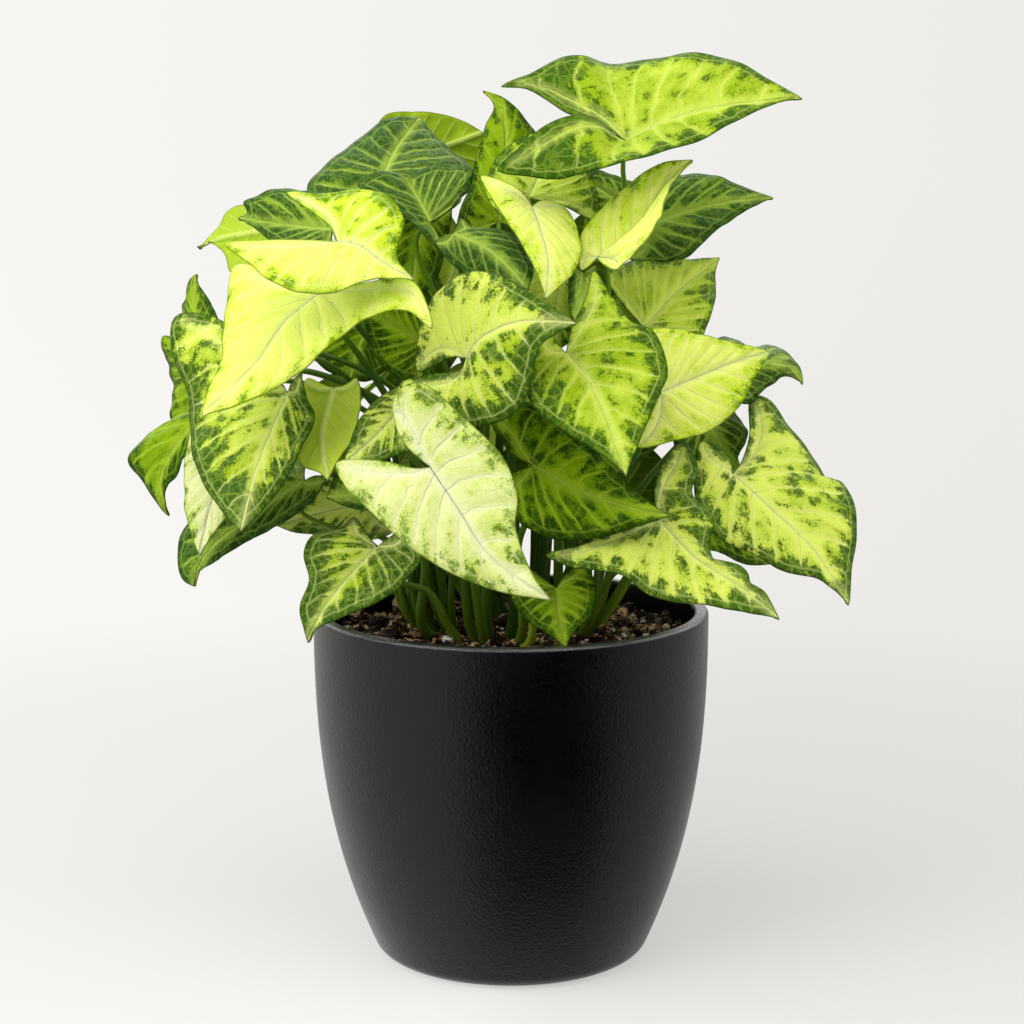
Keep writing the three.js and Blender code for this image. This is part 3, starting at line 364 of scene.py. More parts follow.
        Side((-50, 200, 28), [(-51, 196)], 28, [(-60, 201), (-70, 199)]),
        Side((-46, 184, 36), [(-49, 188)], 38, [(-58, 182.5), (-68, 184.5)]),
    ),
    "left_low_pale": Drawn(
        Clump.LEFT, Tint.MOTTLED, (-58, 186, -6), [(-76, 182)], (-96, 176.5, -14),
        Side((-52, 194, -12), [(-55, 190)], -16, [(-64, 200), (-80, 194), (-92, 182)]),
        Side((-48, 174, 0), [(-53, 180)], -4, [(-60, 170), (-76, 172.5), (-88, 173.5)]),
    ),
    "front_left_low": Drawn(
        Clump.FRONT, Tint.MOTTLED, (-54.5, 168, 40), [(-65, 157), (-76, 143)], (-83.5, 128, 58),
        Side((-64, 180, 28), [(-58.5, 173)], 40, [(-70, 175), (-80, 173), (-84.5, 165), (-82.5, 154),
            (-86.5, 142), (-85, 134)]),
        Side((-45, 174, 44), [(-49, 172)], 54, [(-36.5, 164), (-42, 154.5), (-54, 145), (-70, 138),
            (-79.5, 133.5)]),
        shading=Shading(whole=0.4, one=0.2),
    ),
    "front_cream": Drawn(
        Clump.FRONT, Tint.CREAM, (-33, 200.5, 82), [(-22, 184), (-8, 163)], (16.5, 145.3, 106),
        Side((-47.5, 222, 74), [(-38, 204.5), (-44, 211)], 82, [(-45, 232), (-36, 234.5), (-20, 221.5),
            (-3, 204), (2.8, 188), (2, 176), (8.5, 157)]),
        Side((-71, 202, 62), [(-39, 200), (-52, 203)], 84, [(-67, 192), (-57, 182), (-43, 168.5),
            (-25, 157), (-5, 149)]),
        shading=Shading(whole=0.1, tip=0.1),
    ),
    "centre_mottled": Drawn(
        Clump.FRONT, Tint.MOTTLED, (-18.5, 244.5, 54), [(-13, 252), (2, 259)], (26.5, 258.8, 66),
        Side((-37.5, 239, 46), [(-23, 245), (-31, 241.5)], 40, [(-36.5, 257), (-29.5, 271),
            (-19, 278.7), (-7, 278.5), (10, 269)]),
        Side((-45, 234, 52), [(-20.5, 240), (-32, 238)], 66, [(-28, 219), (-8, 217.5), (5, 226),
            (8.7, 238), (12, 249.5)]),
        shading=Shading(whole=-0.2, one=-0.1, other=0.8, tip=1.1),
    ),
    "centre_right": Drawn(
        Clump.RIGHT, Tint.LIME, (22, 247, 48), [(30, 238), (39, 219)], (46.7, 197, 88),
        Side((33, 279.5, 34), [(24, 256), (30, 269)], 52, [(40, 270), (49, 258.5), (57, 255.5),
            (63, 239), (58.5, 227), (50, 206)]),
        Side((14, 256.5, 48), [(19, 250)], 62, [(5, 243), (7, 228), (22, 214.5), (38, 204.5)]),
        shading=Shading(whole=0.1, one=0.1, other=0.4),
    ),
    "centre_low_green": Drawn(
        Clump.FRONT, Tint.GREEN, (8.5, 201, 44), [(25, 192), (45, 184.5)], (64.5, 180.5, 78),
        Side((-8, 220, 30), [(0, 206)], 46, [(6, 227), (26, 214), (42, 199), (55, 187)]),
        Side((-7, 190, 52), [(1, 198)], 60, [(4, 177), (20, 170.5), (34, 171), (50, 175.5)]),
    ),
    "front_low_small": Drawn(
        Clump.FRONT, Tint.GREEN, (18.5, 151, 50), [(19.5, 138)], (22.5, 125.3, 67),
        Side((8, 158, 46), [(14, 154)], 58, [(0, 149), (6, 137.5), (15, 131.5)]),
        Side((30, 160, 48), [(22, 156)], 58, [(34.8, 150), (33, 140), (25, 131)]),
    ),
    "front_right": Drawn(
        Clump.RIGHT, Tint.MOTTLED, (60, 179, 56), [(75, 163.5), (92, 152)], (110, 137.8, 80),
        Side((14, 164.5, 66), [(44, 174.5), (27, 168)], 76, [(22, 160), (44, 156), (60, 146.5),
            (85, 142.5)]),
        Side((70, 211, 26), [(58, 190), (62, 203)], 52, [(76, 199), (73.5, 190), (82.3, 179), (81, 167.5),
            (84, 161), (92, 160.5), (96.5, 157), (98, 152.5), (103, 149.8)]),
        shading=Shading(one=-0.05, other=0.35, tip=0.2),
    ),
    "right_pale": Drawn(
        Clump.RIGHT, Tint.YELLOW, (60.5, 230.8, 38), [(75, 237), (90, 243)], (104.5, 247, 8),
        Side((54, 255, 30), [(56, 243)], 22, [(66, 256.5), (80, 253), (94, 250)]),
        Side((51, 208.5, 46), [(55, 219)], 40, [(66, 211), (80, 215), (92, 225), (98.5, 237)]),
        shading=Shading(tip=0.2),
    ),
    "right_upper_green": Drawn(
        Clump.RIGHT, Tint.LIME, (53.5, 257, 16), [(65, 270)], (83.5, 285, -26),
        Side((37.5, 278, 8), [(45, 266)], -18, [(50, 283), (66, 283.5), (77, 284.5)]),
        Side((62, 244, 14), [(58, 251)], 10, [(73, 247), (79, 258), (82, 271), (81.8, 279)]),
        shading=Shading(whole=0.05),
    ),
    "right_small_dark": Drawn(
        Clump.RIGHT, Tint.DARK, (84, 238, 4), [(104, 242.5), (112.5, 240.5)], (118, 234, -22),
        Side((76, 246, -18), [(80, 242)], -34, [(87, 253.5), (98, 248.5), (107, 249.5), (115.5, 242)]),
        Side((90, 228, 2), [(88, 234)], -10, [(96, 226), (103, 232.5), (110.5, 237)]),
        via=[(50, -5, 206), (72, -9, 230)],
    ),
    "right_hanging_dark": Drawn(
        Clump.RIGHT, Tint.DARK, (76, 226, -6), [(83, 213)], (90, 199.5, -4),
        Side((66, 224, 0), [(71, 226)], 4, [(66, 210), (76, 202)]),
        Side((86, 230, -12), [(81, 229)], -16, [(92, 220), (96, 214), (92.5, 206)]),
    ),
    "right_mottled": Drawn(
        Clump.RIGHT, Tint.MOTTLED, (90, 198, 28), [(105, 184), (122, 167.5)], (138.5, 143.5, 34),
        Side((77, 211, 26), [(88, 205)], 44, [(74.5, 200), (75, 186), (82, 173), (97, 165.5),
            (112, 157), (126, 154)]),
        Side((97, 229.5, -14), [(93, 202), (96.3, 213)], -4, [(104, 228), (113, 216), (124, 202),
            (128, 196), (134, 195.5), (139.5, 183), (140.5, 172), (139, 156)]),
        shading=Shading(whole=-0.1, other=0.25, tip=0.2),
    ),
    "right_low_behind": Drawn(
        Clump.RIGHT, Tint.GREEN, (76, 184, -10), [(90, 173)], (106.5, 160.3, -42),
        Side((78, 194, -26), [(77, 189)], -44, [(92, 188), (104, 172)]),
        Side((66, 178, -4), [(71, 181)], -14, [(74, 168), (84, 165.5), (96, 160.2)]),
    ),
    "centre_hidden_dark": Drawn(
        Clump.RIGHT, Tint.DARK, (29, 279, 20), [(28.5, 270)], (25.5, 259, 34),
        Side((24, 283, 18), [(26.5, 281)], 26, [(23, 272), (23.5, 264)]),
        Side((34, 282, 16), [(31.5, 281)], 24, [(33.5, 273), (29, 264)]),
    ),
    "centre_hidden_lime": Drawn(
        Clump.RIGHT, Tint.LIME, (20, 277, -12), [(18, 264)], (16, 246, -2),
        Side((10, 282, -16), [(15, 279)], -12, [(4, 268), (8, 254)]),
        Side((32, 278, -14), [(26, 278)], -12, [(33, 264), (25, 252)]),
    ),
    "left_shaded": Drawn(
        Clump.BACK, Tint.GREEN, (-34, 302, -28), [(-38, 286)], (-40, 266, -12),
        Side((-48, 308, -30), [(-41, 304)], -22, [(-58, 292), (-52, 275)]),
        Side((-24, 306, -30), [(-29, 303)], -22, [(-26, 288), (-31, 274)]),
    ),
}

BACK_LEAVES: tuple[Plain, ...] = (
    Plain(45, 66, 184, 56, 54, Tint.GREEN),
    Plain(72, 80, 186, 60, 52, Tint.MOTTLED),
    Plain(106, 66, 178, 58, 56, Tint.GREEN),
    Plain(136, 80, 186, 58, 52, Tint.LIME),
    Plain(24, 74, 224, 54, 34, Tint.MOTTLED),
    Plain(54, 62, 250, 60, 40, Tint.LIME),
    Plain(92, 84, 218, 56, 34, Tint.MOTTLED, via=[(0, 30, 200), (-1, 60, 213)]),
    Plain(120, 60, 252, 62, 40, Tint.GREEN),
    Plain(148, 80, 222, 54, 34, Tint.LIME),
    Plain(66, 50, 284, 62, 24, Tint.GREEN),
    Plain(108, 66, 288, 60, 34, Tint.MOTTLED, via=[(-4, 24, 250), (-10, 34, 284)]),
)

# One half of the plain leaf, in lengths of its midrib: x towards the tip, y outwards.
PLAIN_RIB = ((0.33, 0.0), (0.67, 0.0))
PLAIN_SINUS = ((-0.1, 0.03),)
PLAIN_LOBE = (-0.4, 0.3)
PLAIN_EDGE = ((-0.28, 0.43), (0.02, 0.46), (0.35, 0.32), (0.7, 0.13))
PLAIN_ARCH = 0.28  # how far the tip bends down from a straight midrib
PLAIN_FOLD = 0.3  # how far each half rises beside the midrib
PLAIN_DROP = 0.05  # how far each margin curls down, as a share of the half's width


# Curves and meshes


class Trace:
    """A smooth curve through points, read by its share of length.

    Args:
        points: what the curve passes through, one row each.
    """

    STEPS = 24

    def __init__(self, points: np.ndarray) -> None:
        """Samples the curve closely and measures it."""
        knots = np.asarray(points, float)
        padded = np.vstack([2 * knots[0] - knots[1], knots, 2 * knots[-1] - knots[-2]])
        stretches = [self._stretch(padded[i:i + 4]) for i in range(len(knots) - 1)]
        self.points = np.vstack([*stretches, knots[-1:]])
        steps = np.linalg.norm(np.diff(self.points, axis=0), axis=1)
        self.length = float(steps.sum())
        self.along = np.concatenate([[0.0], np.cumsum(steps)]) / self.length
        self.knots = self.along[::self.STEPS]

    @classmethod
    def _stretch(cls, four: np.ndarray) -> np.ndarray:
        """The centripetal curve between the middle two of four points, without its end."""
        gaps = np.sqrt(np.maximum(np.linalg.norm(np.diff(four, axis=0), axis=1), 1e-6))
        t0, t1, t2, t3 = np.concatenate([[0.0], np.cumsum(gaps)])
        t = np.linspace(t1, t2, cls.STEPS, endpoint=False)[:, None]
        p0, p1, p2, p3 = four
        a1 = (t1 - t) / (t1 - t0) * p0 + (t - t0) / (t1 - t0) * p1
        a2 = (t2 - t) / (t2 - t1) * p1 + (t - t1) / (t2 - t1) * p2
        a3 = (t3 - t) / (t3 - t2) * p2 + (t - t2) / (t3 - t2) * p3
        b1 = (t2 - t) / (t2 - t0) * a1 + (t - t0) / (t2 - t0) * a2
        b2 = (t3 - t) / (t3 - t1) * a2 + (t - t1) / (t3 - t1) * a3
        return (t2 - t) / (t2 - t1) * b1 + (t - t1) / (t2 - t1) * b2

    def at(self, share: np.ndarray) -> np.ndarray:
        """Points at these shares of the length."""
        share = np.clip(np.asarray(share, float), 0, 1)
        return np.stack([np.interp(share, self.along, column) for column in self.points.T], axis=-1)


def unit(vectors: np.ndarray) -> np.ndarray:
    """The vectors at length one."""
    return vectors / np.maximum(np.linalg.norm(vectors, axis=-1, keepdims=True), 1e-9)


def turns(sides: int) -> np.ndarray:
    """Directions spread evenly round a circle, in radians."""
    return np.linspace(0, 2 * math.pi, sides, endpoint=False)


def grid_faces(rows: int, columns: int, first: int, closed: bool = False) -> np.ndarray:
    """Four corners of each cell of a grid of points.

    Args:
        rows: points in one direction.
        columns: points in the other direction, which is stored next to each other.
        first: the number of the grid's first point.
        closed: whether the last column joins the first.

    Returns:
        One row of four point numbers a cell.
    """
    near = np.arange(columns if closed else columns - 1)
    far = (near + 1) % columns
    base = first + np.arange(rows - 1)[:, None] * columns
    above = base + columns
    return np.stack([base + near, base + far, above + far, above + near], -1).reshape(-1, 4)


@dataclass
class Draft:
    """A mesh being built: points, faces and values for each point.

    Attributes:
        points: places in millimetres.
        faces: corners of each face.
        maps: for each named map, two numbers a point.
        corner_maps: for each named map, two numbers a corner of a face.
    """

    points: np.ndarray
    faces: Sequence[Sequence[int]]
    maps: dict[str, np.ndarray] = field(default_factory=dict)
    corner_maps: dict[str, np.ndarray] = field(default_factory=dict)

    def piece(self, name: str, materials: Sequence[Material], slot: str) -> Object:
        """Makes the Blender object and puts it on the model.

        Args:
            name: the piece's name.
            materials: its finishes, in slot order.
            slot: the record's material slot; not used.

        Returns:
            The new object.
        """
        mesh = bpy.data.meshes.new(name)
        faces = [list(map(int, f)) for f in self.faces]
        mesh.from_pydata((self.points * MM).tolist(), [], faces)
        corners = np.concatenate(faces)
        maps = {key: values[corners] for key, values in self.maps.items()} | self.corner_maps
        for map_name, values in maps.items():
            layer = mesh.uv_layers.new(name=map_name, do_init=False)
            layer.uv.foreach_set("vector", values.astype(np.float32).ravel())
        for material in materials:
            mesh.materials.append(material)
        mesh.polygons.foreach_set("use_smooth", np.ones(len(mesh.polygons), bool))
        mesh.update()
        thing = bpy.data.objects.new(name, mesh)
        bpy.context.scene.collection.objects.link(thing)
        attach(thing, BODY)
        log.info("%s: %d faces", name, len(mesh.polygons))
        return thing


def joined(drafts: Sequence[Draft]) -> Draft:
    """Several drafts as one."""
    starts = np.cumsum([0] + [len(d.points) for d in drafts[:-1]]).tolist()
    return Draft(
        points=np.vstack([d.points for d in drafts]),
        faces=[[int(c) + start for c in f] for d, start in zip(drafts, starts) for f in d.faces],
        maps={key: np.vstack([d.maps[key] for d in drafts]) for key in drafts[0].maps},
    )


def nearest(points: np.ndarray, line: np.ndarray) -> np.ndarray:
    """Each point's distance to the nearest point of a closely sampled line."""
    square = (points ** 2).sum(1)[:, None] + (line ** 2).sum(1)[None, :] - 2 * points @ line.T
    return np.sqrt(np.maximum(square.min(1), 0))


# Placing leaves in space


def carried(across: float, up: float, forward: float) -> np.ndarray:
    """A drawn point moved forward along its line of sight."""
    scale = 1 - forward / VIEW_DISTANCE
    return np.array([across * scale, -forward, VIEW_HEIGHT + (up - VIEW_HEIGHT) * scale])


def carried_row(points: Sequence[Point], stations: Sequence[tuple[float, float]] = ()) -> np.ndarray:
    """A row of drawn points carried forward, evenly between those whose distance is known.

    Args:
        points: the row; a third number is the point's own distance forward.
        stations: (share of the row's length, distance forward) known besides.

    Returns:
        The points in space.
    """
    flat = np.array([p[:2] for p in points], float)
    steps = np.linalg.norm(np.diff(flat, axis=0), axis=1)
    along = np.concatenate([[0.0], np.cumsum(steps)]) / steps.sum()
    known = sorted([*stations, *((along[i], p[2]) for i, p in enumerate(points) if len(p) == 3)])
    forward = np.interp(along, [k[0] for k in known], [k[1] for k in known])
    return np.array([carried(x, z, f) for (x, z), f in zip(flat, forward)])


@dataclass
class Outline:
    """A leaf's lines in space.

    Attributes:
        rib: the midrib, from the junction to the tip.
        halves: for each half, its sinus from the junction and its margin from the lobe's tip.
        drops: how far each half's margin curls down.
        upper: roughly where the upper face looks.
    """

    rib: np.ndarray
    halves: list[tuple[np.ndarray, np.ndarray]]
    drops: tuple[float, float]
    upper: np.ndarray

    def rim(self, half: int) -> tuple[Trace, float]:
        """A half's rim from the junction to the tip, and where along it the lobe's tip lies."""
        sinus, edge = self.halves[half]
        line = Trace(np.vstack([sinus, edge[1:]]))
        return line, line.knots[len(sinus) - 1]

    @classmethod
    def drawn(cls, leaf: Drawn) -> "Outline":
        """The lines of a drawn leaf."""
        halves = []
        for side in (leaf.one, leaf.other):
            sinus = carried_row([leaf.junction, *side.sinus, side.lobe])
            edge = carried_row([side.lobe, *side.edge, leaf.tip], [(BladeBuilder.LOBE_SHARE, side.forward)])
            halves.append((sinus, edge))
        rib = carried_row([leaf.junction, *leaf.rib, leaf.tip])
        eye = np.array([0.0, -VIEW_DISTANCE, VIEW_HEIGHT])
        towards = unit(eye - rib[0]) * (-1 if leaf.shows_under else 1)
        return cls(rib, halves, (leaf.one.drop, leaf.other.drop), towards)

    @classmethod
    def plain(cls, leaf: Plain) -> "Outline":
        """The lines of a plain leaf."""
        heading, slope = math.radians(leaf.angle), math.radians(leaf.dip)
        outwards = np.array([math.cos(heading), math.sin(heading), 0.0])
        across = np.array([-outwards[1], outwards[0], 0.0])
        along = outwards * math.cos(slope) - UP * math.sin(slope)
        above = np.cross(along, across)
        junction = outwards * leaf.radius + UP * leaf.height

        def place(x: float, y: float) -> np.ndarray:
            """A point of the plain leaf in space."""
            rise = PLAIN_FOLD * abs(y) - PLAIN_ARCH * x * abs(x)
            return junction + leaf.length * (along * x + across * y + above * rise)

        halves = []
        for sign in (1, -1):
            sinus = np.array([place(x, sign * y) for x, y in ((0, 0), *PLAIN_SINUS, PLAIN_LOBE)])
            edge = np.array([place(x, sign * y) for x, y in (PLAIN_LOBE, *PLAIN_EDGE, (1, 0))])
            halves.append((sinus, edge))
        rib = np.array([place(x, y) for x, y in ((0, 0), *PLAIN_RIB, (1, 0))])
        return cls(rib, halves, (PLAIN_DROP, PLAIN_DROP), UP)


# Blades


@dataclass
class BladeBuilder:
    """Builds one leaf blade as a closed, veined surface.

    Attributes:
        name: the leaf's name.
        outline: its lines in space.
        shading: its lighter and darker parts.
        number: tells the leaf's pattern from the others'.
        side_veins: lateral veins from each side of the midrib.
        lobe_veins: lateral veins of each basal lobe.
        vein_columns: columns of the mesh between two lateral veins.
        rows: rows of the mesh from the rib to the margin.
    """

    LOBE_SHARE = 0.36  # share of the outer margin that belongs to a basal lobe
    LOBE_RIB = 0.42  # how far from its sinus towards its edge a lobe's rib runs
    LOBE_RIB_END = 0.85  # how far along the lobe its rib is seen
    LOBE_RIB_LOSS = 0.25  # how much thinner it is than the midrib, in millimetres a side
    NOTCH_ROWS = 5
    NOTCH_SPACING = 6.0  # the veins' spacing beside the sinus
    NOTCH_SHADE = 0.4  # the share of a half's shade that reaches its sinus
    SWEEP = 0.06  # how far back the veins' middles lie, as a share of the margin
    RIPPLES = (2.6, 5.7)  # the margin's waves from the lobe's tip to the leaf's
    THICKNESS = 1.5  # at the midrib's foot
    THINNEST = 0.24  # the margin's thickness, as a share of that
    RIB_THINS = 60.0  # how fast the ribs thin out from the junction
    GROOVE_WIDTH = 1.2
    RIDGE_WIDTH = 1.1
    APART = np.array([173.0, 61.0])  # the steps from one leaf's pattern to the next one's
    PATTERN = 911.0  # where these steps start again

    name: str
    outline: Outline
    shading: Shading
    number: int
    side_veins: int = 6
    lobe_veins: int = 3
    vein_columns: int = 7
    rows: int = 14
    quilt: float = 0.095  # height of the swelling between two veins, as a share of their spacing
    bulge: float = 0.055  # how far each half swells, as a share of its width
    wave: float = 0.7  # the margin's waviness
    groove: float = 0.5  # depth of the crease along the ribs

    def half(self, second: bool, chance: np.random.Generator) -> Draft:
        """One half of the blade, before its relief.

        Args:
            second: whether it is the other half.
            chance: the leaf's own random numbers.

        Returns:
            The half, with the maps veins and rise: the height of its relief and its shade.
        """
        drop = self.outline.drops[second]
        towards_margin = self.shading.other if second else self.shading.one
        rim, lobe_at = self.outline.rim(second)
        back = np.linspace(1, 0, self.lobe_veins * self.vein_columns + 1)[:-1]
        ahead = np.linspace(0, 1, self.side_veins * self.vein_columns + 1)
        margin = np.concatenate([
            self.LOBE_SHARE * (1 - back ** 1.2),
            self.LOBE_SHARE + (1 - self.LOBE_SHARE) * ahead,
        ])
        station = np.concatenate([-back, ahead])
        swing = self.SWEEP * np.sin(math.pi * (station + 1) / 2) ** 0.7
        outer = rim.at(lobe_at + (1 - lobe_at) * margin)
        bowed = rim.at(lobe_at + (1 - lobe_at) * np.maximum(margin - swing, 0))
        inner = rim.at(lobe_at * back)
        lobe_rib = self.lobe_rib(inner, outer[:len(back)], back)
        spine = np.vstack([lobe_rib, Trace(self.outline.rib).at(ahead ** 1.7)])
        v = (np.arange(self.rows + 1) / self.rows)[None, :, None] ** 1.3
        bend = spine + (bowed - spine) * 0.5
        main = (1 - v) ** 2 * spine[:, None] + 2 * v * (1 - v) * bend[:, None] + v ** 2 * outer[:, None]
        w = (np.arange(self.NOTCH_ROWS + 1) / self.NOTCH_ROWS)[None, :, None]
        lobe_line = np.vstack([lobe_rib, self.outline.rib[:1]])
        notch_line = np.vstack([inner, self.outline.rib[:1]])
        notch = lobe_line[:, None] * (1 - w) + notch_line[:, None] * w
        phase = np.where(station < 0, station * self.lobe_veins, station * self.side_veins)
        spacing = np.linalg.norm(np.gradient(main, axis=0), axis=2) * self.vein_columns
        width = np.linalg.norm(outer - spine, axis=1)
        across = np.broadcast_to(v[0, :, 0], main.shape[:2])
        crest = np.abs(np.sin(math.pi * phase))[:, None] ** 0.8 - 0.55
        relief = self.quilt * spacing * crest * (across ** 0.5 * (1 - across) ** 0.4 * 1.6)
        relief += self.bulge * width[:, None] * 4 * across * (1 - across)
        relief -= drop * width[:, None] * across ** 4
        long_start, short_start = chance.uniform(0, 2 * math.pi, 2)
        long_wave, short_wave = self.RIPPLES
        ripple = np.sin(2 * math.pi * long_wave * margin + long_start)
        ripple += 0.6 * np.sin(2 * math.pi * short_wave * margin + short_start)
        ends = np.sin(math.pi * np.clip(margin, 0, 1)) ** 0.6
        relief += self.wave * (ripple * ends * np.minimum(width / 30, 1))[:, None] * across ** 3
        to_tip = np.maximum(station, 0) ** 3
        along = np.where(station < 0, -station * self.shading.lobes, to_tip * self.shading.tip)
        shade = along[:, None] + towards_margin * across ** 0.7
        phase = phase + 20 * self.number + 10 * second
        main_maps = np.stack([np.broadcast_to(phase[:, None], across.shape), spacing], -1)
        notch_size = notch.shape[:2]
        notch_phase = np.broadcast_to(phase[:len(back) + 1, None], notch_size)
        notch_along = along[:len(back) + 1] + self.NOTCH_SHADE * towards_margin
        notch_shade = np.broadcast_to(notch_along[:, None], notch_size)
        notch_maps = np.stack([notch_phase, np.full(notch_size, self.NOTCH_SPACING)], -1)
        points = np.vstack([main.reshape(-1, 3), notch.reshape(-1, 3)])
        faces = np.vstack([
            grid_faces(*main.shape[:2], 0),
            grid_faces(*notch.shape[:2], main.shape[0] * main.shape[1])[:, ::-1],
        ])
        rise = np.concatenate([relief.ravel(), np.zeros(notch.shape[0] * notch.shape[1])])
        shades = np.concatenate([shade.ravel(), notch_shade.ravel()])
        return Draft(points, faces, {
            "veins": np.vstack([main_maps.reshape(-1, 2), notch_maps.reshape(-1, 2)]),
            "rise": np.stack([rise, shades], -1),
        })

    def surface(self) -> tuple[Draft, np.ndarray]:
        """The whole upper face.

        Returns:
            The face with its maps, and how thick the blade is at each point, from 0 to 1.
        """
        chance = np.random.default_rng(SEED + self.number)
        one, other = self.half(False, chance), self.half(True, chance)
        other.faces = np.asarray(other.faces)[:, ::-1]
        both = joined([one, other])
        keys = np.round(both.points * 1000).astype(np.int64)
        _, first, weld = np.unique(keys, axis=0, return_index=True, return_inverse=True)
        weld = weld.ravel()
        points = both.points[first]
        corners = weld[np.asarray(both.faces)]
        normals = self.normals(points, corners)
        if (normals.mean(0) @ self.outline.upper) < 0:
            corners, normals = corners[:, ::-1], -normals
            both.faces = [f[::-1] for f in both.faces]
        count = np.bincount(weld)
        rise, shade = (np.bincount(weld, both.maps["rise"][:, k]) / count for k in range(2))
        rib_line = Trace(self.outline.rib).at(np.linspace(0, 1, 400))
        run = np.linalg.norm(points - self.outline.rib[0], axis=1)
        to_rib = np.minimum(nearest(points, rib_line), self.lobe_rib_distance(points))
        rims = [self.outline.rim(half)[0].at(np.linspace(0, 1, 1000)) for half in range(2)]
        to_margin = nearest(points, np.vstack(rims))
        fading = np.exp(-run / self.RIB_THINS)
        rise -= self.groove * np.exp(-(to_rib / self.GROOVE_WIDTH) ** 2) * fading
        points = points + normals * rise[:, None]
        frame_x = unit(self.outline.rib[-1] - self.outline.rib[0])
        frame_y = unit(np.cross(normals.mean(0), frame_x))
        flat = np.stack([(points - points[0]) @ frame_x, (points - points[0]) @ frame_y], -1)
        flat += (self.number * self.APART) % self.PATTERN
        faces, loops = [], []
        for own, welded in zip(np.asarray(both.faces), corners):
            keep = [k for k in range(4) if welded[k] != welded[k - 1]]
            if len(keep) > 2 and len({welded[k] for k in keep}) == len(keep):
                faces.append([int(welded[k]) for k in keep])
                loops.append([int(own[k]) for k in keep])
        # The tone map carries the leaf's shading: its own tones, with painted shade and painted light.
        draft = Draft(points, faces, {
            "blade": flat,
            "reach": np.stack([to_rib, to_margin], -1),
            "tone": np.stack([self.shading.whole + shade, run], -1),
        }, {"veins": both.maps["veins"][np.concatenate(loops)]})
        thick = self.THINNEST + (1 - self.THINNEST) * np.exp(-(to_rib / self.RIDGE_WIDTH) ** 2) * fading
        return draft, thick

    def lobe_rib(self, inner: np.ndarray, outer: np.ndarray, back: np.ndarray) -> np.ndarray:
        """A lobe's rib between its sinus and its edge, at these shares of the way to its tip."""
        return inner + (outer - inner) * (self.LOBE_RIB * (1 - (1 - back) ** 1.6))[:, None]

    def lobe_rib_distance(self, points: np.ndarray) -> np.ndarray:
        """Each point's distance to the nearer lobe rib, a little more for the ribs' slimness."""
        far = np.full(len(points), np.inf)
        back = np.linspace(0, self.LOBE_RIB_END, 160)
        for half in range(2):
            rim, lobe_at = self.outline.rim(half)
            inner = rim.at(lobe_at * back)
            outer = rim.at(lobe_at + (1 - lobe_at) * self.LOBE_SHARE * (1 - back ** 1.2))
            far = np.minimum(far, nearest(points, self.lobe_rib(inner, outer, back)) + self.LOBE_RIB_LOSS)
        return far

    @staticmethod
    def normals(points: np.ndarray, corners: np.ndarray) -> np.ndarray:
        """Directions of the surface at each point."""
        a, b, c, d = (points[corners[:, k]] for k in range(4))
        turn = np.cross(c - a, d - b)
        total = np.zeros_like(points)
        for k in range(4):
            np.add.at(total, corners[:, k], turn)
        return unit(total)

    def build(self, finishes: Sequence[Material], slot: str) -> None:
        """Makes the blade, with its thickness as a modifier.

        Args:
            finishes: the upper face's finish and the underside's.
            slot: the record's material slot.
        """
        draft, thick = self.surface()
        blade = draft.piece(f"blade_{self.name}", finishes, slot)
        group = blade.vertex_groups.new(name="thickness")
        for i, weight in enumerate(thick):
            group.add([i], float(weight), "REPLACE")
        solid = blade.modifiers.new("thickness", "SOLIDIFY")
        solid.thickness = self.THICKNESS * MM
        solid.offset = -1
        solid.vertex_group = group.name
        solid.thickness_vertex_group = 0
        solid.material_offset = 1
        solid.material_offset_rim = 0
        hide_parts(f"leaf_{self.name}")
# Finishes

Value = Any  # a node's output socket, or a plain number or colour


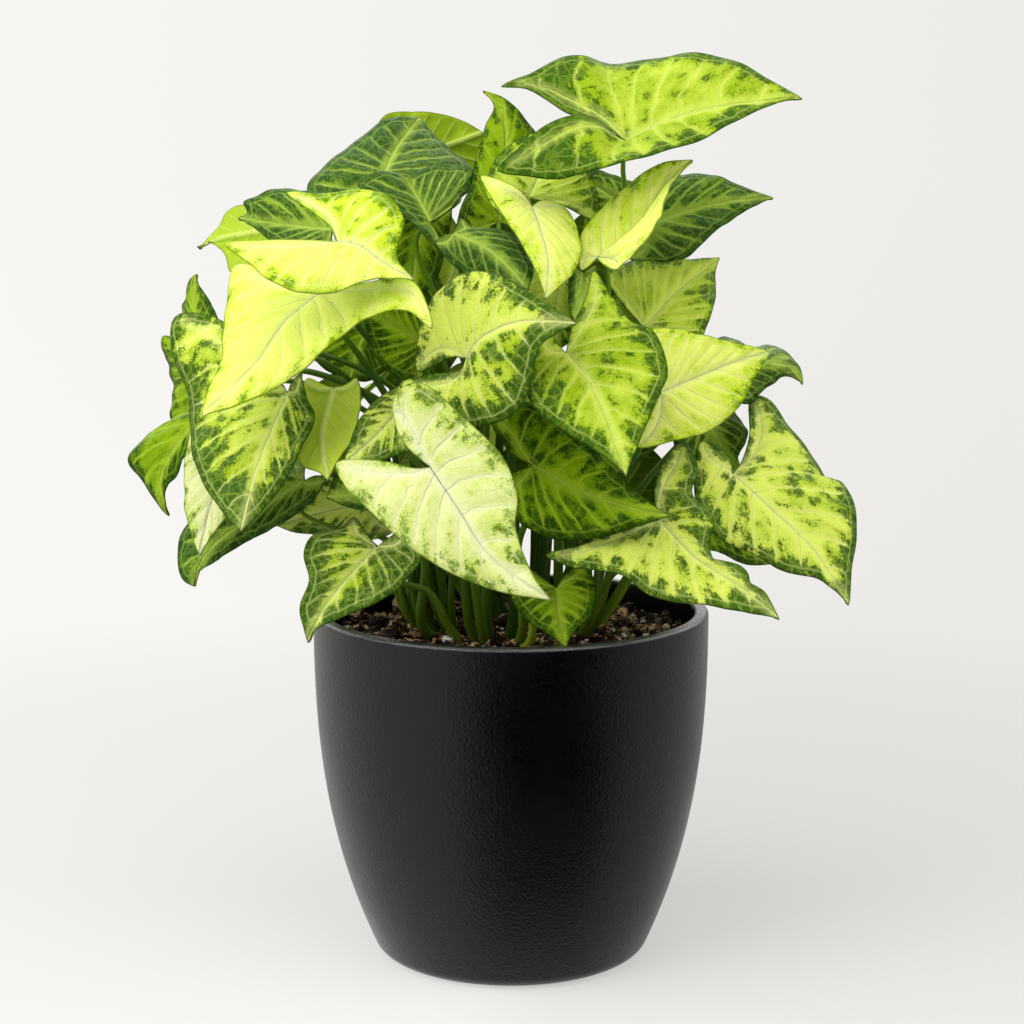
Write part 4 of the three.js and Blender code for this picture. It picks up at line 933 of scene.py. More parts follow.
class Graph:
    """One material and the nodes added to it, or the world's nodes.

    Args:
        name: the material's name.
        tree: the world's node tree, instead of a material's.
    """

    def __init__(self, name: str, tree: NodeTree | None = None) -> None:
        """Starts from an empty tree."""
        self.material = None
        if tree is None:
            self.material = bpy.data.materials.new(name)
            self.material.use_nodes = True
            tree = self.material.node_tree
        self.tree = tree
        self.tree.nodes.clear()

    def node(self, kind: str, inputs: dict[Any, Value] | None = None, **settings: Any) -> Node:
        """Adds a node.

        Args:
            kind: the node's type, without its ShaderNode prefix.
            inputs: values or sockets for the node's inputs.
            settings: the node's own properties.

        Returns:
            The node.
        """
        made = self.tree.nodes.new(f"ShaderNode{kind}")
        for key, value in settings.items():
            setattr(made, key, value)
        for key, value in (inputs or {}).items():
            self.feed(made.inputs[key], value)
        return made

    def feed(self, socket: Socket, value: Value) -> None:
        """Links a socket, or sets its own value."""
        if isinstance(value, Socket):
            self.tree.links.new(value, socket)
        elif isinstance(value, tuple) and len(value) == 3 and socket.type == "RGBA":
            socket.default_value = (*value, 1)
        else:
            socket.default_value = value

    def maths(self, operation: str, *values: Value) -> Socket:
        """A calculation on up to three numbers."""
        return self.node("Math", dict(enumerate(values)), operation=operation).outputs[0]

    def vectors(self, operation: str, *values: Value) -> Node:
        """A calculation on vectors, whose result is one of the node's outputs."""
        return self.node("VectorMath", dict(enumerate(values)), operation=operation)

    def total(self, *terms: Value) -> Socket:
        """The sum of several numbers."""
        result = terms[0]
        for term in terms[1:]:
            result = self.maths("ADD", result, term)
        return result

    def times(self, *factors: Value) -> Socket:
        """The product of several numbers."""
        result = factors[0]
        for factor in factors[1:]:
            result = self.maths("MULTIPLY", result, factor)
        return result

    def weighed(self, start: Value, *pairs: tuple[Value, float]) -> Socket:
        """A number plus several others, each times its weight."""
        return self.total(start, *(self.times(value, weight) for value, weight in pairs))

    def fade(self, value: Value, low: float, high: float, at_low: float = 0, at_high: float = 1) -> Socket:
        """A smooth step of a number from one value to another."""
        inputs = {"Value": value, "From Min": low, "From Max": high, "To Min": at_low, "To Max": at_high}
        return self.node("MapRange", inputs, interpolation_type="SMOOTHSTEP").outputs[0]

    def near(self, distance: Value, low: float, high: float, most: float = 1) -> Socket:
        """The most up to the low distance, nothing from the high one on."""
        return self.fade(distance, low, high, most, 0)

    def noise(self, vector: Value, scale: float, detail: float = 3, rough: float = 0.55) -> Socket:
        """Cloudy noise between 0 and 1, as fine as scale cells a unit."""
        inputs = {"Vector": vector, "Scale": scale, "Detail": detail, "Roughness": rough}
        return self.node("TexNoise", inputs).outputs["Fac"]

    def cell_edges(self, vector: Value, scale: float) -> Socket:
        """How far a point is from the edge of its cell."""
        cells = self.node("TexVoronoi", {"Vector": vector, "Scale": scale}, feature="DISTANCE_TO_EDGE")
        return cells.outputs["Distance"]

    def centred(self, value: Value) -> Socket:
        """A noise taken down by a half, so that it swings about zero."""
        return self.maths("SUBTRACT", value, 0.5)

    def to_whole(self, value: Value) -> Socket:
        """How far a number is from the nearest whole one."""
        return self.maths("ABSOLUTE", self.maths("SUBTRACT", value, self.maths("ROUND", value)))

    def warped(self, vector: Value, scale: float, reach: float) -> Socket:
        """A vector pushed about by noise, by as much as reach."""
        push = self.node("TexNoise", {"Vector": vector, "Scale": scale, "Detail": 2}).outputs["Color"]
        moved = self.vectors("SUBTRACT", push, (0.5, 0.5, 0.5)).outputs[0]
        grown = self.node("VectorMath", {0: moved, 3: reach}, operation="SCALE").outputs[0]
        return self.vectors("ADD", vector, grown).outputs[0]

    def mix(self, factor: Value, a: Value, b: Value, blend: str = "MIX") -> Socket:
        """A colour between two, or their product with the blend MULTIPLY."""
        mixer = self.node("Mix", data_type="RGBA", blend_type=blend)
        for socket, value in zip((mixer.inputs[0], mixer.inputs[6], mixer.inputs[7]), (factor, a, b)):
            self.feed(socket, value)
        return mixer.outputs[2]

    def chart(self, name: str) -> tuple[Socket, Socket, Socket]:
        """A named map of the mesh: the vector and its two numbers."""
        vector = self.node("UVMap", uv_map=name).outputs[0]
        parts = self.node("SeparateXYZ", {0: vector}).outputs
        return vector, parts[0], parts[1]

    def place(self) -> Socket:
        """Where a point lies on its piece, in metres."""
        return self.node("TexCoord").outputs["Object"]

    def relief(self, height: Value, distance: float) -> Socket:
        """Surface directions from a height, where 1 stands for distance in millimetres."""
        inputs = {"Height": height, "Distance": distance * MM, "Strength": 1.0}
        return self.node("Bump", inputs).outputs[0]

    def surface(self, colour: Value, roughness: Value, normal: Value, specular: float) -> Socket:
        """The main shader."""
        inputs = {"Base Color": colour, "Roughness": roughness, "Specular IOR Level": specular}
        shader = self.node("BsdfPrincipled", inputs)
        if normal is not None:
            self.feed(shader.inputs["Normal"], normal)
        return shader.outputs[0]

    def blend(self, share: Value, a: Socket, b: Socket) -> Socket:
        """A shader between two."""
        return self.node("MixShader", {0: share, 1: a, 2: b}).outputs[0]

    def lit_through(self, shader: Socket, colour: Value, share: float) -> Socket:
        """A shader that also lets a share of the light through, in this colour."""
        through = self.node("BsdfTranslucent", {"Color": colour}).outputs[0]
        return self.blend(share, shader, through)

    def finish(self, shader: Socket) -> Material:
        """Ends the material with this shader."""
        self.node("OutputMaterial", {"Surface": shader})
        return self.material


def blended(share: float, a: Colour, b: Colour) -> Colour:
    """A share of the first colour and the rest of the second."""
    return tuple(share * one + (1 - share) * other for one, other in zip(a, b))


class UpperPattern:
    """What marks an upper face: its veins, clouds, patches and grain. Distances are millimetres.

    Args:
        g: the material's graph.
    """

    WAVER = 0.55  # how far the veins stray, as a share of their spacing
    CROWDED = (1.2, 5.5)  # where the veins run into the margin
    VEIN_CORE = (0.12, 0.42)
    VEIN_HALO = (0.2, 1.6)
    MINOR_VEIN = (0.06, 0.36)
    LACE_BEND = 2.6  # how far the finest veins are bent
    HEM = 3.0  # how far inside the margin its own vein runs
    HEM_WIDTH = (0.1, 0.6)
    MARGIN_BAND = (0.5, 11)
    RIB_BAND = (0.5, 4.0)

    def __init__(self, g: Graph) -> None:
        """Adds the pattern's nodes."""
        self.blade, _, _ = g.chart("blade")
        _, phase, spacing = g.chart("veins")
        _, self.to_rib, self.to_margin = g.chart("reach")
        # tone: the leaf's shading, its own tones together with painted shade and painted light.
        _, self.tone, self.run = g.chart("tone")
        self.cloud = g.centred(g.noise(self.blade, 0.055, 2))
        self.patch = g.centred(g.noise(self.blade, 0.19, 3, 0.5))
        self.grain = g.centred(g.noise(self.blade, 1.0, 4, 0.7))
        beside_vein = g.node("CombineXYZ", {0: g.times(phase, 8), 1: g.times(self.to_rib, 0.4)}).outputs[0]
        self.streak = g.centred(g.noise(beside_vein, 0.24, 3, 0.6))
        self.fray = g.times(g.centred(g.noise(self.blade, 2.4, 2, 0.6)), 0.9)
        turned = g.maths("ADD", phase, g.times(g.centred(g.noise(self.blade, 0.11, 3)), self.WAVER))
        self.between = g.maths("ABSOLUTE", g.maths("SINE", g.times(turned, math.pi)))
        self.to_vein = g.times(g.to_whole(turned), spacing)
        self.inside = g.fade(self.to_margin, *self.CROWDED)
        vary = g.fade(self.patch, -0.25, 0.2, 0.45, 1)
        self.core = g.times(g.near(self.to_vein, *self.VEIN_CORE), self.inside, vary)
        self.halo = g.times(g.near(self.to_vein, *self.VEIN_HALO), self.inside, vary)
        self.minor = self._minor_veins(g, turned, spacing)
        to_hem = g.total(self.to_margin, g.times(self.patch, 2.4), -self.HEM)
        self.hem = g.near(g.maths("ABSOLUTE", to_hem), *self.HEM_WIDTH)
        self.lace = self._lace(g)
        self.near_margin = g.near(self.to_margin, *self.MARGIN_BAND)
        self.near_rib = g.near(self.to_rib, *self.RIB_BAND)

    def _minor_veins(self, g: Graph, turned: Value, spacing: Value) -> Socket:
        """The finer veins halfway between the side veins."""
        swerve = g.total(turned, -0.5, g.times(self.patch, 0.5))
        line = g.near(g.times(g.to_whole(swerve), spacing), *self.MINOR_VEIN)
        return g.times(line, g.fade(g.total(self.to_rib, g.times(self.cloud, 14)), 2, 9, 0.1, 1))

    def _lace(self, g: Graph) -> Socket:
        """The finest veins, which part the blotches."""
        bent = g.warped(self.blade, 0.35, self.LACE_BEND)
        large = g.near(g.cell_edges(bent, 0.21), 0.03, 0.14)
        small = g.near(g.cell_edges(bent, 0.52), 0.02, 0.14, 0.3)
        fading = g.times(g.maths("MAXIMUM", large, small), g.fade(self.cloud, -0.25, 0.25, 0.5, 1))
        return g.maths("MAXIMUM", fading, g.times(self.hem, 0.8))


@dataclass(frozen=True)
class LeafFinish:
    """The colours and markings of a leaf.

    Attributes:
        pale: along the ribs and veins.
        mid: between the veins.
        deep: blotches and speckles.
        vein: the veins themselves.
        lace: the finest veins, which part the blotches.
        green: how far the mid colour spreads, from 0 to 1.
        mottle: how many blotches there are inside the leaf.
        border: how many there are near the margin.
        crease_shade: how dark the painted shade is in the creases along the ribs and, near the junction,
            beside the side veins.
        net: how clear the finest veins are.
        bloom: how far the veins' colour spreads beside them.
        glow: how much light comes through.
    """

    RELIEF = 0.3  # millimetres
    SHEEN = 0.05
    WARMTH = (0.78, 1.0, 0.28)  # the light that comes through, of the leaf's own colour

    pale: Colour
    mid: Colour
    deep: Colour
    vein: Colour
    lace: Colour
    green: float
    mottle: float
    border: float
    crease_shade: float
    net: float = 0.35
    bloom: float = 0.14
    glow: float = 0.3

    def material(self, tint: Tint, face: Face) -> Material:
        """The finish of one face.

        Args:
            tint: the leaf's colouring, for the name.
            face: the upper face or the underside.

        Returns:
            The material.
        """
        g = Graph(f"leaf_{tint.value}_{face.value}")
        colour, height, roughness = self.upper(g) if face is Face.UPPER else self.under(g)
        shader = g.surface(colour, roughness, g.relief(height, self.RELIEF), self.SHEEN)
        warm = g.mix(1.0, colour, self.WARMTH, "MULTIPLY")
        return g.finish(g.lit_through(shader, warm, self.glow))

    def upper(self, g: Graph) -> tuple[Value, Value, Value]:
        """Colour, height and roughness of the upper face.

        Args:
            g: the material's graph.

        Returns:
            Three sockets.
        """
        on = UpperPattern(g)
        body = self.blotched(g, on, self.ground(g, on))
        body = self.veined(g, on, body)
        edge = g.near(g.total(on.to_margin, g.times(on.grain, 0.7)), 0.12, 0.62, 0.8)
        body = g.mix(edge, body, self.deep)
        height = g.weighed(
            g.times(on.core, -0.8), (g.near(on.to_rib, 0.1, 0.8), -1.0), (on.minor, -0.4), (on.lace, -0.45),
            (g.noise(on.blade, 2.2, 2), 0.3), (on.patch, 0.8))
        return body, height, g.fade(on.grain, -0.3, 0.3, 0.40, 0.54)

    def ground(self, g: Graph, on: UpperPattern) -> Value:
        """The pale colour and the mid one, which lies between the veins and towards the margin."""
        spread = g.weighed(
            self.green, (on.between, 0.22), (on.cloud, 1.7), (on.patch, 0.7), (on.streak, 0.9),
            (on.grain, 0.3), (on.near_margin, 0.34), (on.near_rib, -0.35), (on.halo, -0.2))
        speckle = g.total(g.times(on.grain, 0.6), g.times(on.fray, 0.5))
        # tone moves the ground towards the mid colour or the pale one: partly the leaf's own tone, partly
        # painted shade and painted light.
        return g.mix(g.fade(g.total(spread, on.tone, -0.15, speckle), 0.0, 0.85), self.pale, self.mid)

    def blotched(self, g: Graph, on: UpperPattern, body: Value) -> Value:
        """The colour with its blotches, the fine veins that part them, and flecks."""
        # tone adds blotches too: the leaf's own dark parts, and painted shade.
        blotch = g.weighed(
            self.mottle, (on.patch, 2.1), (on.streak, 1.7), (on.grain, 1.4), (on.cloud, 1.9),
            (on.between, 0.2), (on.near_margin, self.border), (on.tone, 0.9), (on.halo, -0.4),
            (on.near_rib, -0.5))
        stained = g.times(g.fade(g.maths("ADD", blotch, on.fray), 0.06, 0.30), 0.96)
        stain = g.mix(g.fade(on.grain, -0.2, 0.25), self.deep, blended(0.06, self.mid, self.deep))
        body = g.mix(stained, body, stain)
        body = g.mix(g.times(on.lace, stained, self.net), body, self.lace)
        flecks = g.weighed(g.noise(on.blade, 1.7, 3, 0.6), (on.near_margin, 0.12), (on.patch, 0.25))
        return g.mix(g.times(g.fade(flecks, 0.70, 0.75), 0.75), body, self.deep)

    def veined(self, g: Graph, on: UpperPattern, body: Value) -> Value:
        """The colour with its ribs and veins, and painted shade in the creases along them."""
        veins = (
            (on.near_rib, self.bloom + 0.12), (on.halo, self.bloom), (on.core, 0.66),
            (on.minor, 0.16), (on.hem, 0.2))
        for line, share in veins:
            body = g.mix(g.times(line, share), body, self.vein)
        rib_width = g.fade(on.run, 0, 80, 0.9, 0.3)
        body = g.mix(g.near(g.maths("DIVIDE", on.to_rib, rib_width), 0.5, 1.0, 0.92), body, self.vein)
        # painted shade: a dark line in the crease along the ribs, fading towards the tip.
        shade = tuple(0.5 * c for c in self.deep)
        painted_crease = g.times(g.near(on.to_rib, 0.08, 0.3), g.fade(on.run, 6, 62, self.crease_shade, 0.03))
        body = g.mix(painted_crease, body, shade)
        # painted shade in the grooves beside the side veins, near the junction.
        fading = g.fade(on.run, 4, 30, 0.7 * self.crease_shade, 0.0)
        return g.mix(g.times(g.near(on.to_vein, 0.03, 0.16), on.inside, fading), body, shade)

    def under(self, g: Graph) -> tuple[Value, Value, Value]:
        """Colour, height and roughness of the underside, which is paler and plainer.

        Args:
            g: the material's graph.

        Returns:
            Three sockets.
        """
        blade, _, _ = g.chart("blade")
        _, phase, spacing = g.chart("veins")
        _, to_rib, to_margin = g.chart("reach")
        _, tone, _ = g.chart("tone")
        cloud = g.centred(g.noise(blade, 0.07, 3, 0.6))
        core = g.times(g.near(g.times(g.to_whole(phase), spacing), 0.2, 0.6), g.fade(to_margin, 0.6, 4))
        pale, soft = blended(0.4, self.pale, self.mid), blended(0.62, self.mid, self.deep)
        # tone lightens or darkens the underside: partly its own tone, partly painted light for undersides
        # lit through from behind.
        body = g.mix(g.fade(g.total(self.green, g.times(cloud, 1.4), tone), 0.0, 0.9), pale, soft)
        body = g.mix(g.times(core, 0.35), body, self.vein)
        body = g.mix(g.near(to_rib, 0.4, 1.0, 0.55), body, self.vein)
        body = g.mix(g.near(to_margin, 0.15, 0.55, 0.55), body, self.deep)
        height = g.total(core, g.times(g.noise(blade, 2.0, 2), 0.3))
        return body, height, g.fade(cloud, -0.3, 0.3, 0.46, 0.6)


LEAF_FINISHES: dict[Tint, LeafFinish] = {
    Tint.CREAM: LeafFinish(
        pale=(0.85, 0.86, 0.41), mid=(0.58, 0.71, 0.09), deep=(0.095, 0.19, 0.006),
        vein=(0.93, 0.92, 0.68), lace=(0.66, 0.80, 0.22),
        green=0.14, mottle=-0.60, border=0.50, crease_shade=0.9),
    Tint.YELLOW: LeafFinish(
        pale=(0.90, 0.93, 0.20), mid=(0.62, 0.78, 0.020), deep=(0.12, 0.25, 0.002),
        vein=(0.94, 0.95, 0.46), lace=(0.60, 0.80, 0.05),
        green=0.22, mottle=-0.66, border=0.42, crease_shade=0.5),
    Tint.LIME: LeafFinish(
        pale=(0.62, 0.75, 0.080), mid=(0.31, 0.47, 0.006), deep=(0.020, 0.080, 0.004),
        vein=(0.76, 0.85, 0.22), lace=(0.40, 0.58, 0.05),
        green=0.34, mottle=-0.47, border=0.60, crease_shade=0.4),
    Tint.MOTTLED: LeafFinish(
        pale=(0.82, 0.90, 0.15), mid=(0.40, 0.57, 0.010), deep=(0.020, 0.080, 0.006),
        vein=(0.90, 0.94, 0.36), lace=(0.46, 0.64, 0.08),
        green=0.30, mottle=-0.31, border=0.70, crease_shade=0.55),
    Tint.GREEN: LeafFinish(
        pale=(0.30, 0.47, 0.006), mid=(0.085, 0.20, 0.001), deep=(0.014, 0.052, 0.0005),
        vein=(0.50, 0.66, 0.07), lace=(0.18, 0.34, 0.012),
        green=0.42, mottle=-0.20, border=0.55, crease_shade=0.3),
    Tint.DARK: LeafFinish(
        pale=(0.21, 0.34, 0.025), mid=(0.078, 0.165, 0.008), deep=(0.012, 0.048, 0.005),
        vein=(0.46, 0.62, 0.10), lace=(0.18, 0.32, 0.035),
        green=0.45, mottle=0.16, border=0.34, crease_shade=0.2, net=0.42, bloom=0.22, glow=0.15),
}


@dataclass(frozen=True)
class StalkFinish:
    """A leaf stalk: smooth, streaked lengthwise, paler at the foot, with painted shade on the stalks inside
    the plant.
    """

    RELIEF = 0.15  # millimetres
    SHEEN = 0.15

    top: Colour = (0.15, 0.29, 0.008)
    foot: Colour = (0.27, 0.34, 0.022)
    streak: Colour = (0.05, 0.12, 0.005)
    husk: Colour = (0.10, 0.045, 0.012)
    # painted shade for the stalks that stand inside the plant
    shaded: Colour = (0.028, 0.075, 0.002)
    glow: float = 0.12

    def material(self) -> Material:
        """The finish of every stalk."""
        g = Graph("stalk_skin")
        vector, _, run = g.chart("stalk")
        _, depth, _ = g.chart("depth")
        stretched = g.node("Mapping", {"Vector": vector, "Scale": (1.0, 0.05, 1.0)}).outputs[0]
        lines = g.noise(stretched, 1.6, 3)
        specks = g.noise(vector, 0.8, 3)
        body = g.mix(g.fade(run, 4, 60), self.foot, self.top)
        body = g.mix(g.times(g.fade(lines, 0.45, 0.75), 0.6), body, self.streak)
        body = g.mix(g.times(g.fade(specks, 0.6, 0.75), 0.25), body, self.foot)
        husks = g.total(g.fade(run, 5, 24, 0.22, -0.2), g.centred(lines), g.times(g.centred(specks), 0.6))
        body = g.mix(g.fade(husks, 0.1, 0.3, 0, 0.7), body, self.husk)
        # painted shade: stalks inside the plant are darkened towards the shaded colour.
        body = g.mix(depth, body, self.shaded)
        bumps = g.relief(g.total(lines, g.times(specks, 0.2)), self.RELIEF)
        shader = g.surface(body, g.fade(specks, 0.3, 0.7, 0.36, 0.5), bumps, self.SHEEN)
        return g.finish(g.lit_through(shader, body, self.glow))


@dataclass(frozen=True)
class EarthFinish:
    """One ingredient of the potting mix.

    Attributes:
        name: what it is.
        dark: its darkest colour.
        light: its lightest colour.
        scale: how fine its grain is, as a share of the usual.
        rough: how rough it is.
        lit: the share that the light colour takes.
    """

    COARSE = 160  # cells a metre
    FINE = 900
    RELIEF = 0.5  # millimetres
    SHEEN = 0.08

    name: str
    dark: Colour
    light: Colour
    scale: float
    rough: float
    lit: float

    def material(self) -> Material:
        """The ingredient's material."""
        g = Graph(self.name)
        place = g.place()
        stretched = g.node("Mapping", {"Vector": place, "Scale": (1.0, 1.6, 2.6)}).outputs[0]
        coarse = g.noise(place, self.scale * self.COARSE, 4, 0.65)
        fine = g.noise(stretched, self.scale * self.FINE, 4, 0.7)
        level = g.total(g.times(coarse, 0.9), g.times(fine, 0.6), -0.25)
        body = g.mix(g.fade(level, 0.92 - self.lit, 1.05 - self.lit), self.dark, self.light)
        return g.finish(g.surface(body, self.rough, g.relief(fine, self.RELIEF), self.SHEEN))


@dataclass(frozen=True)
class PotFinish:
    """Matte charcoal glaze with a fine leathery grain."""

    CLOUD = 22  # cells a metre
    PEEL = 1150
    PITS = 900
    RELIEF = 0.2  # millimetres
    SHEEN = 0.36

    dark: Colour = (0.0004, 0.0004, 0.0005)
    light: Colour = (0.0012, 0.0013, 0.0014)

    def material(self) -> Material:
        """The pot's material."""
        g = Graph("pot_glaze")
        place = g.place()
        cloud = g.noise(place, self.CLOUD, 3)
        peel = g.noise(place, self.PEEL, 3, 0.6)
        pits = g.node("TexVoronoi", {"Vector": place, "Scale": self.PITS}, feature="SMOOTH_F1")
        body = g.mix(g.fade(cloud, 0.3, 0.7), self.dark, self.light)
        body = g.mix(g.times(g.fade(peel, 0.55, 0.8), 0.3), body, self.light)
        height = g.total(g.times(peel, 0.8), g.times(pits.outputs["Distance"], 0.5))
        roughness = g.total(g.fade(cloud, 0.25, 0.75, 0.22, 0.32), g.times(peel, 0.08))
        return g.finish(g.surface(body, roughness, g.relief(height, self.RELIEF), self.SHEEN))


# Sub-assemblies


@dataclass
class LeafCrown:
    """Every leaf blade of the plant, with the finishes that they share."""

    BACK_SHADING = Shading(lobes=0.2, tip=0.3)

    finishes: dict[Tint, tuple[Material, Material]] = field(default_factory=dict)
    blades: list[tuple[BladeBuilder, Clump, Sequence[Point]]] = field(default_factory=list)

    def dress(self, tint: Tint) -> tuple[Material, Material]:
        """The two faces' finishes of a tint, made once."""
        if tint not in self.finishes:
            look = LEAF_FINISHES[tint]
            self.finishes[tint] = (look.material(tint, Face.UPPER), look.material(tint, Face.UNDER))
        return self.finishes[tint]

    def add(self, blade: BladeBuilder, leaf: Drawn | Plain, clump: Clump) -> None:
        """Builds one blade and keeps it for its stalk."""
        self.blades.append((blade, clump, leaf.via))
        blade.build(self.dress(leaf.tint), f"leaf_{leaf.tint.value}")

    def build(self) -> None:
        """Builds every blade."""
        for number, (name, leaf) in enumerate(LEAVES.items()):
            self.add(BladeBuilder(name, Outline.drawn(leaf), leaf.shading, number), leaf, leaf.clump)
        for number, leaf in enumerate(BACK_LEAVES, 1):
            outline = Outline.plain(leaf)
            blade = BladeBuilder(f"back_{number}", outline, self.BACK_SHADING, len(LEAVES) + number)
            self.add(blade, leaf, Clump.BACK)


@dataclass
class StalkClump:
    """The stalks that leave the soil together.

    Attributes:
        clump: which one.
        foot_height: where the stalks start, below the soil's surface.
        near_foot: how far the tallest stalk's foot stands from the clump's middle.
        far_foot: how far the lowest stalk's foot stands from it.
        foot_radius: a stalk's radius at its foot.
        middle_radius: its radius above its sheath.
        end_radius: its radius under the blade.
        sides: sides of a stalk.
        rings: rings of points along a stalk.
    """

    LEANS = {Clump.LEFT: 12}  # how far a stalk leans out just above the soil
    LEAN = 4
    # painted shade: the tallest stalks stand deepest in the leaves' shade, so their colour is darkened most.
    STALK_SHADES = {Clump.FRONT: (1.0, 0.1), Clump.BACK: (1.0, 0.75)}  # how dark the inner and outer stalks are
    STALK_SHADE = (1.0, 0.4)
    INSET = 0.45  # how deep a stalk's end lies in the blade's rib
    SHEATH = 22  # how far up its thick foot goes
    AROUND = 4  # half the width of the stalk's map

    clump: Clump
    foot_height: float = 127.0
    near_foot: float = 3.0
    far_foot: float = 9.0
    foot_radius: float = 2.4
    middle_radius: float = 1.75
    end_radius: float = 0.95
    sides: int = 12
    rings: int = 56

    def route(
        self, blade: BladeBuilder, via: Sequence[Point], low: float, chance: np.random.Generator,
    ) -> Trace:
        """The line that a stalk follows from the soil to its blade.

        Args:
            blade: the leaf that it carries.
            via: points that it passes.
            low: 0 for the clump's tallest stalk, 1 for its lowest.
            chance: the clump's random numbers.

        Returns:
            The line.
        """
        level = np.array([1, 1, 0])
        junction = blade.outline.rib[0]
        draft, _ = blade.surface()
        corners = [f for f in draft.faces if len(f) == 4]
        normals = BladeBuilder.normals(draft.points, np.asarray(corners))
        at = int(np.argmin(np.linalg.norm(draft.points - junction, axis=1)))
        under = -normals[at]
        end = draft.points[at] + under * self.INSET
        faces_down_or_in = under[2] < -0.2 or under @ (-junction * level) > 0
        approach = end + (under if faces_down_or_in else -under) * 7 - UP * 5
        middle = np.array([*self.clump.value, 0.0])
        heading = unit((end - middle) * level)
        spread = self.near_foot + (self.far_foot - self.near_foot) * low
        foot = middle + heading * spread + UP * self.foot_height
        foot[:2] += chance.uniform(-1.3, 1.3, 2)
        neck = foot + heading * (self.LEANS.get(self.clump, self.LEAN) + 9 * low) + UP * (16 - 5 * low)
        if via:
            way = [np.array(p, float) for p in via]
        else:
            outwards = 0.3 + 0.25 * low
            way = [foot + (end - foot) * np.array([outwards, outwards, 0.6])]
        return Trace(np.array([foot, neck, *way, approach, end]))

    def tube(self, line: Trace, depth: float, girth: float) -> Draft:
        """A round stalk along a line.

        Args:
            line: its middle line.
            depth: how much painted shade it has, from 0 to 1.
            girth: how thick it is, as a share of the usual.

        Returns:
            The stalk, with a flattened, sheathing foot.
        """
        share = np.linspace(0, 1, self.rings) ** 1.1
        centre = line.at(share)
        run = share * line.length
        ahead = unit(np.gradient(centre, axis=0))
        side = unit(np.cross(ahead, np.cross(ahead, np.array([0.31, 0.17, 0.2])) + 1e-6))
        for i in range(1, len(side)):
            side[i] = unit(side[i - 1] - ahead[i] * (side[i - 1] @ ahead[i]))
        slim = self.end_radius + (self.middle_radius - self.end_radius) * (1 - share) ** 0.8
        radius = girth * (slim + (self.foot_radius - self.middle_radius) * np.exp(-run / self.SHEATH))
        flat = 1 + 0.22 * np.exp(-run / 26)
        turn = turns(self.sides)
        ring = (
            (radius * flat)[:, None, None] * np.cos(turn)[None, :, None] * side[:, None]
            + (radius / flat)[:, None, None] * np.sin(turn)[None, :, None] * np.cross(ahead, side)[:, None]
        )
        faces = grid_faces(self.rings, self.sides, 0, closed=True).tolist()
        last = (self.rings - 1) * self.sides
        faces.append(list(range(self.sides))[::-1])
        faces.append([last + k for k in range(self.sides)])
        around = np.tile(np.cos(turn) * self.AROUND, self.rings)
        # The painted shade fades out near the stalk's top, where it comes out under its blade.
        shaded = depth * (1 - 0.8 * np.clip((share - 0.72) / 0.2, 0, 1))
        return Draft((centre[:, None] + ring).reshape(-1, 3), faces, {
            "stalk": np.stack([around, np.repeat(run, self.sides)], -1),
            "depth": np.repeat(shaded, self.sides)[:, None] * np.ones(2),
        })

    def build(self, crown: LeafCrown, skin: Material) -> None:
        """Builds the clump.

        Args:
            crown: the leaves, already built.
            skin: the stalks' finish.
        """
        chance = np.random.default_rng(SEED + len(self.clump.name))
        mine = [(blade, via) for blade, clump, via in crown.blades if clump is self.clump]
        mine.sort(key=lambda entry: -entry[0].outline.rib[0][2])
        # painted shade for each stalk, darkest on the clump's tallest ones
        inner, outer = self.STALK_SHADES.get(self.clump, self.STALK_SHADE)
        tubes = []
        for k, (blade, via) in enumerate(mine):
            low = k / (len(mine) - 1)
            depth = outer + (inner - outer) * (1 - low) ** 0.3
            girth = chance.uniform(0.75, 1.1)
            tubes.append(self.tube(self.route(blade, via, low, chance), depth, girth))
        name = self.clump.name.lower()
        piece = joined(tubes).piece(f"stalk_clump_{name}", [skin], "stalk")
        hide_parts(f"stalks_{name}")


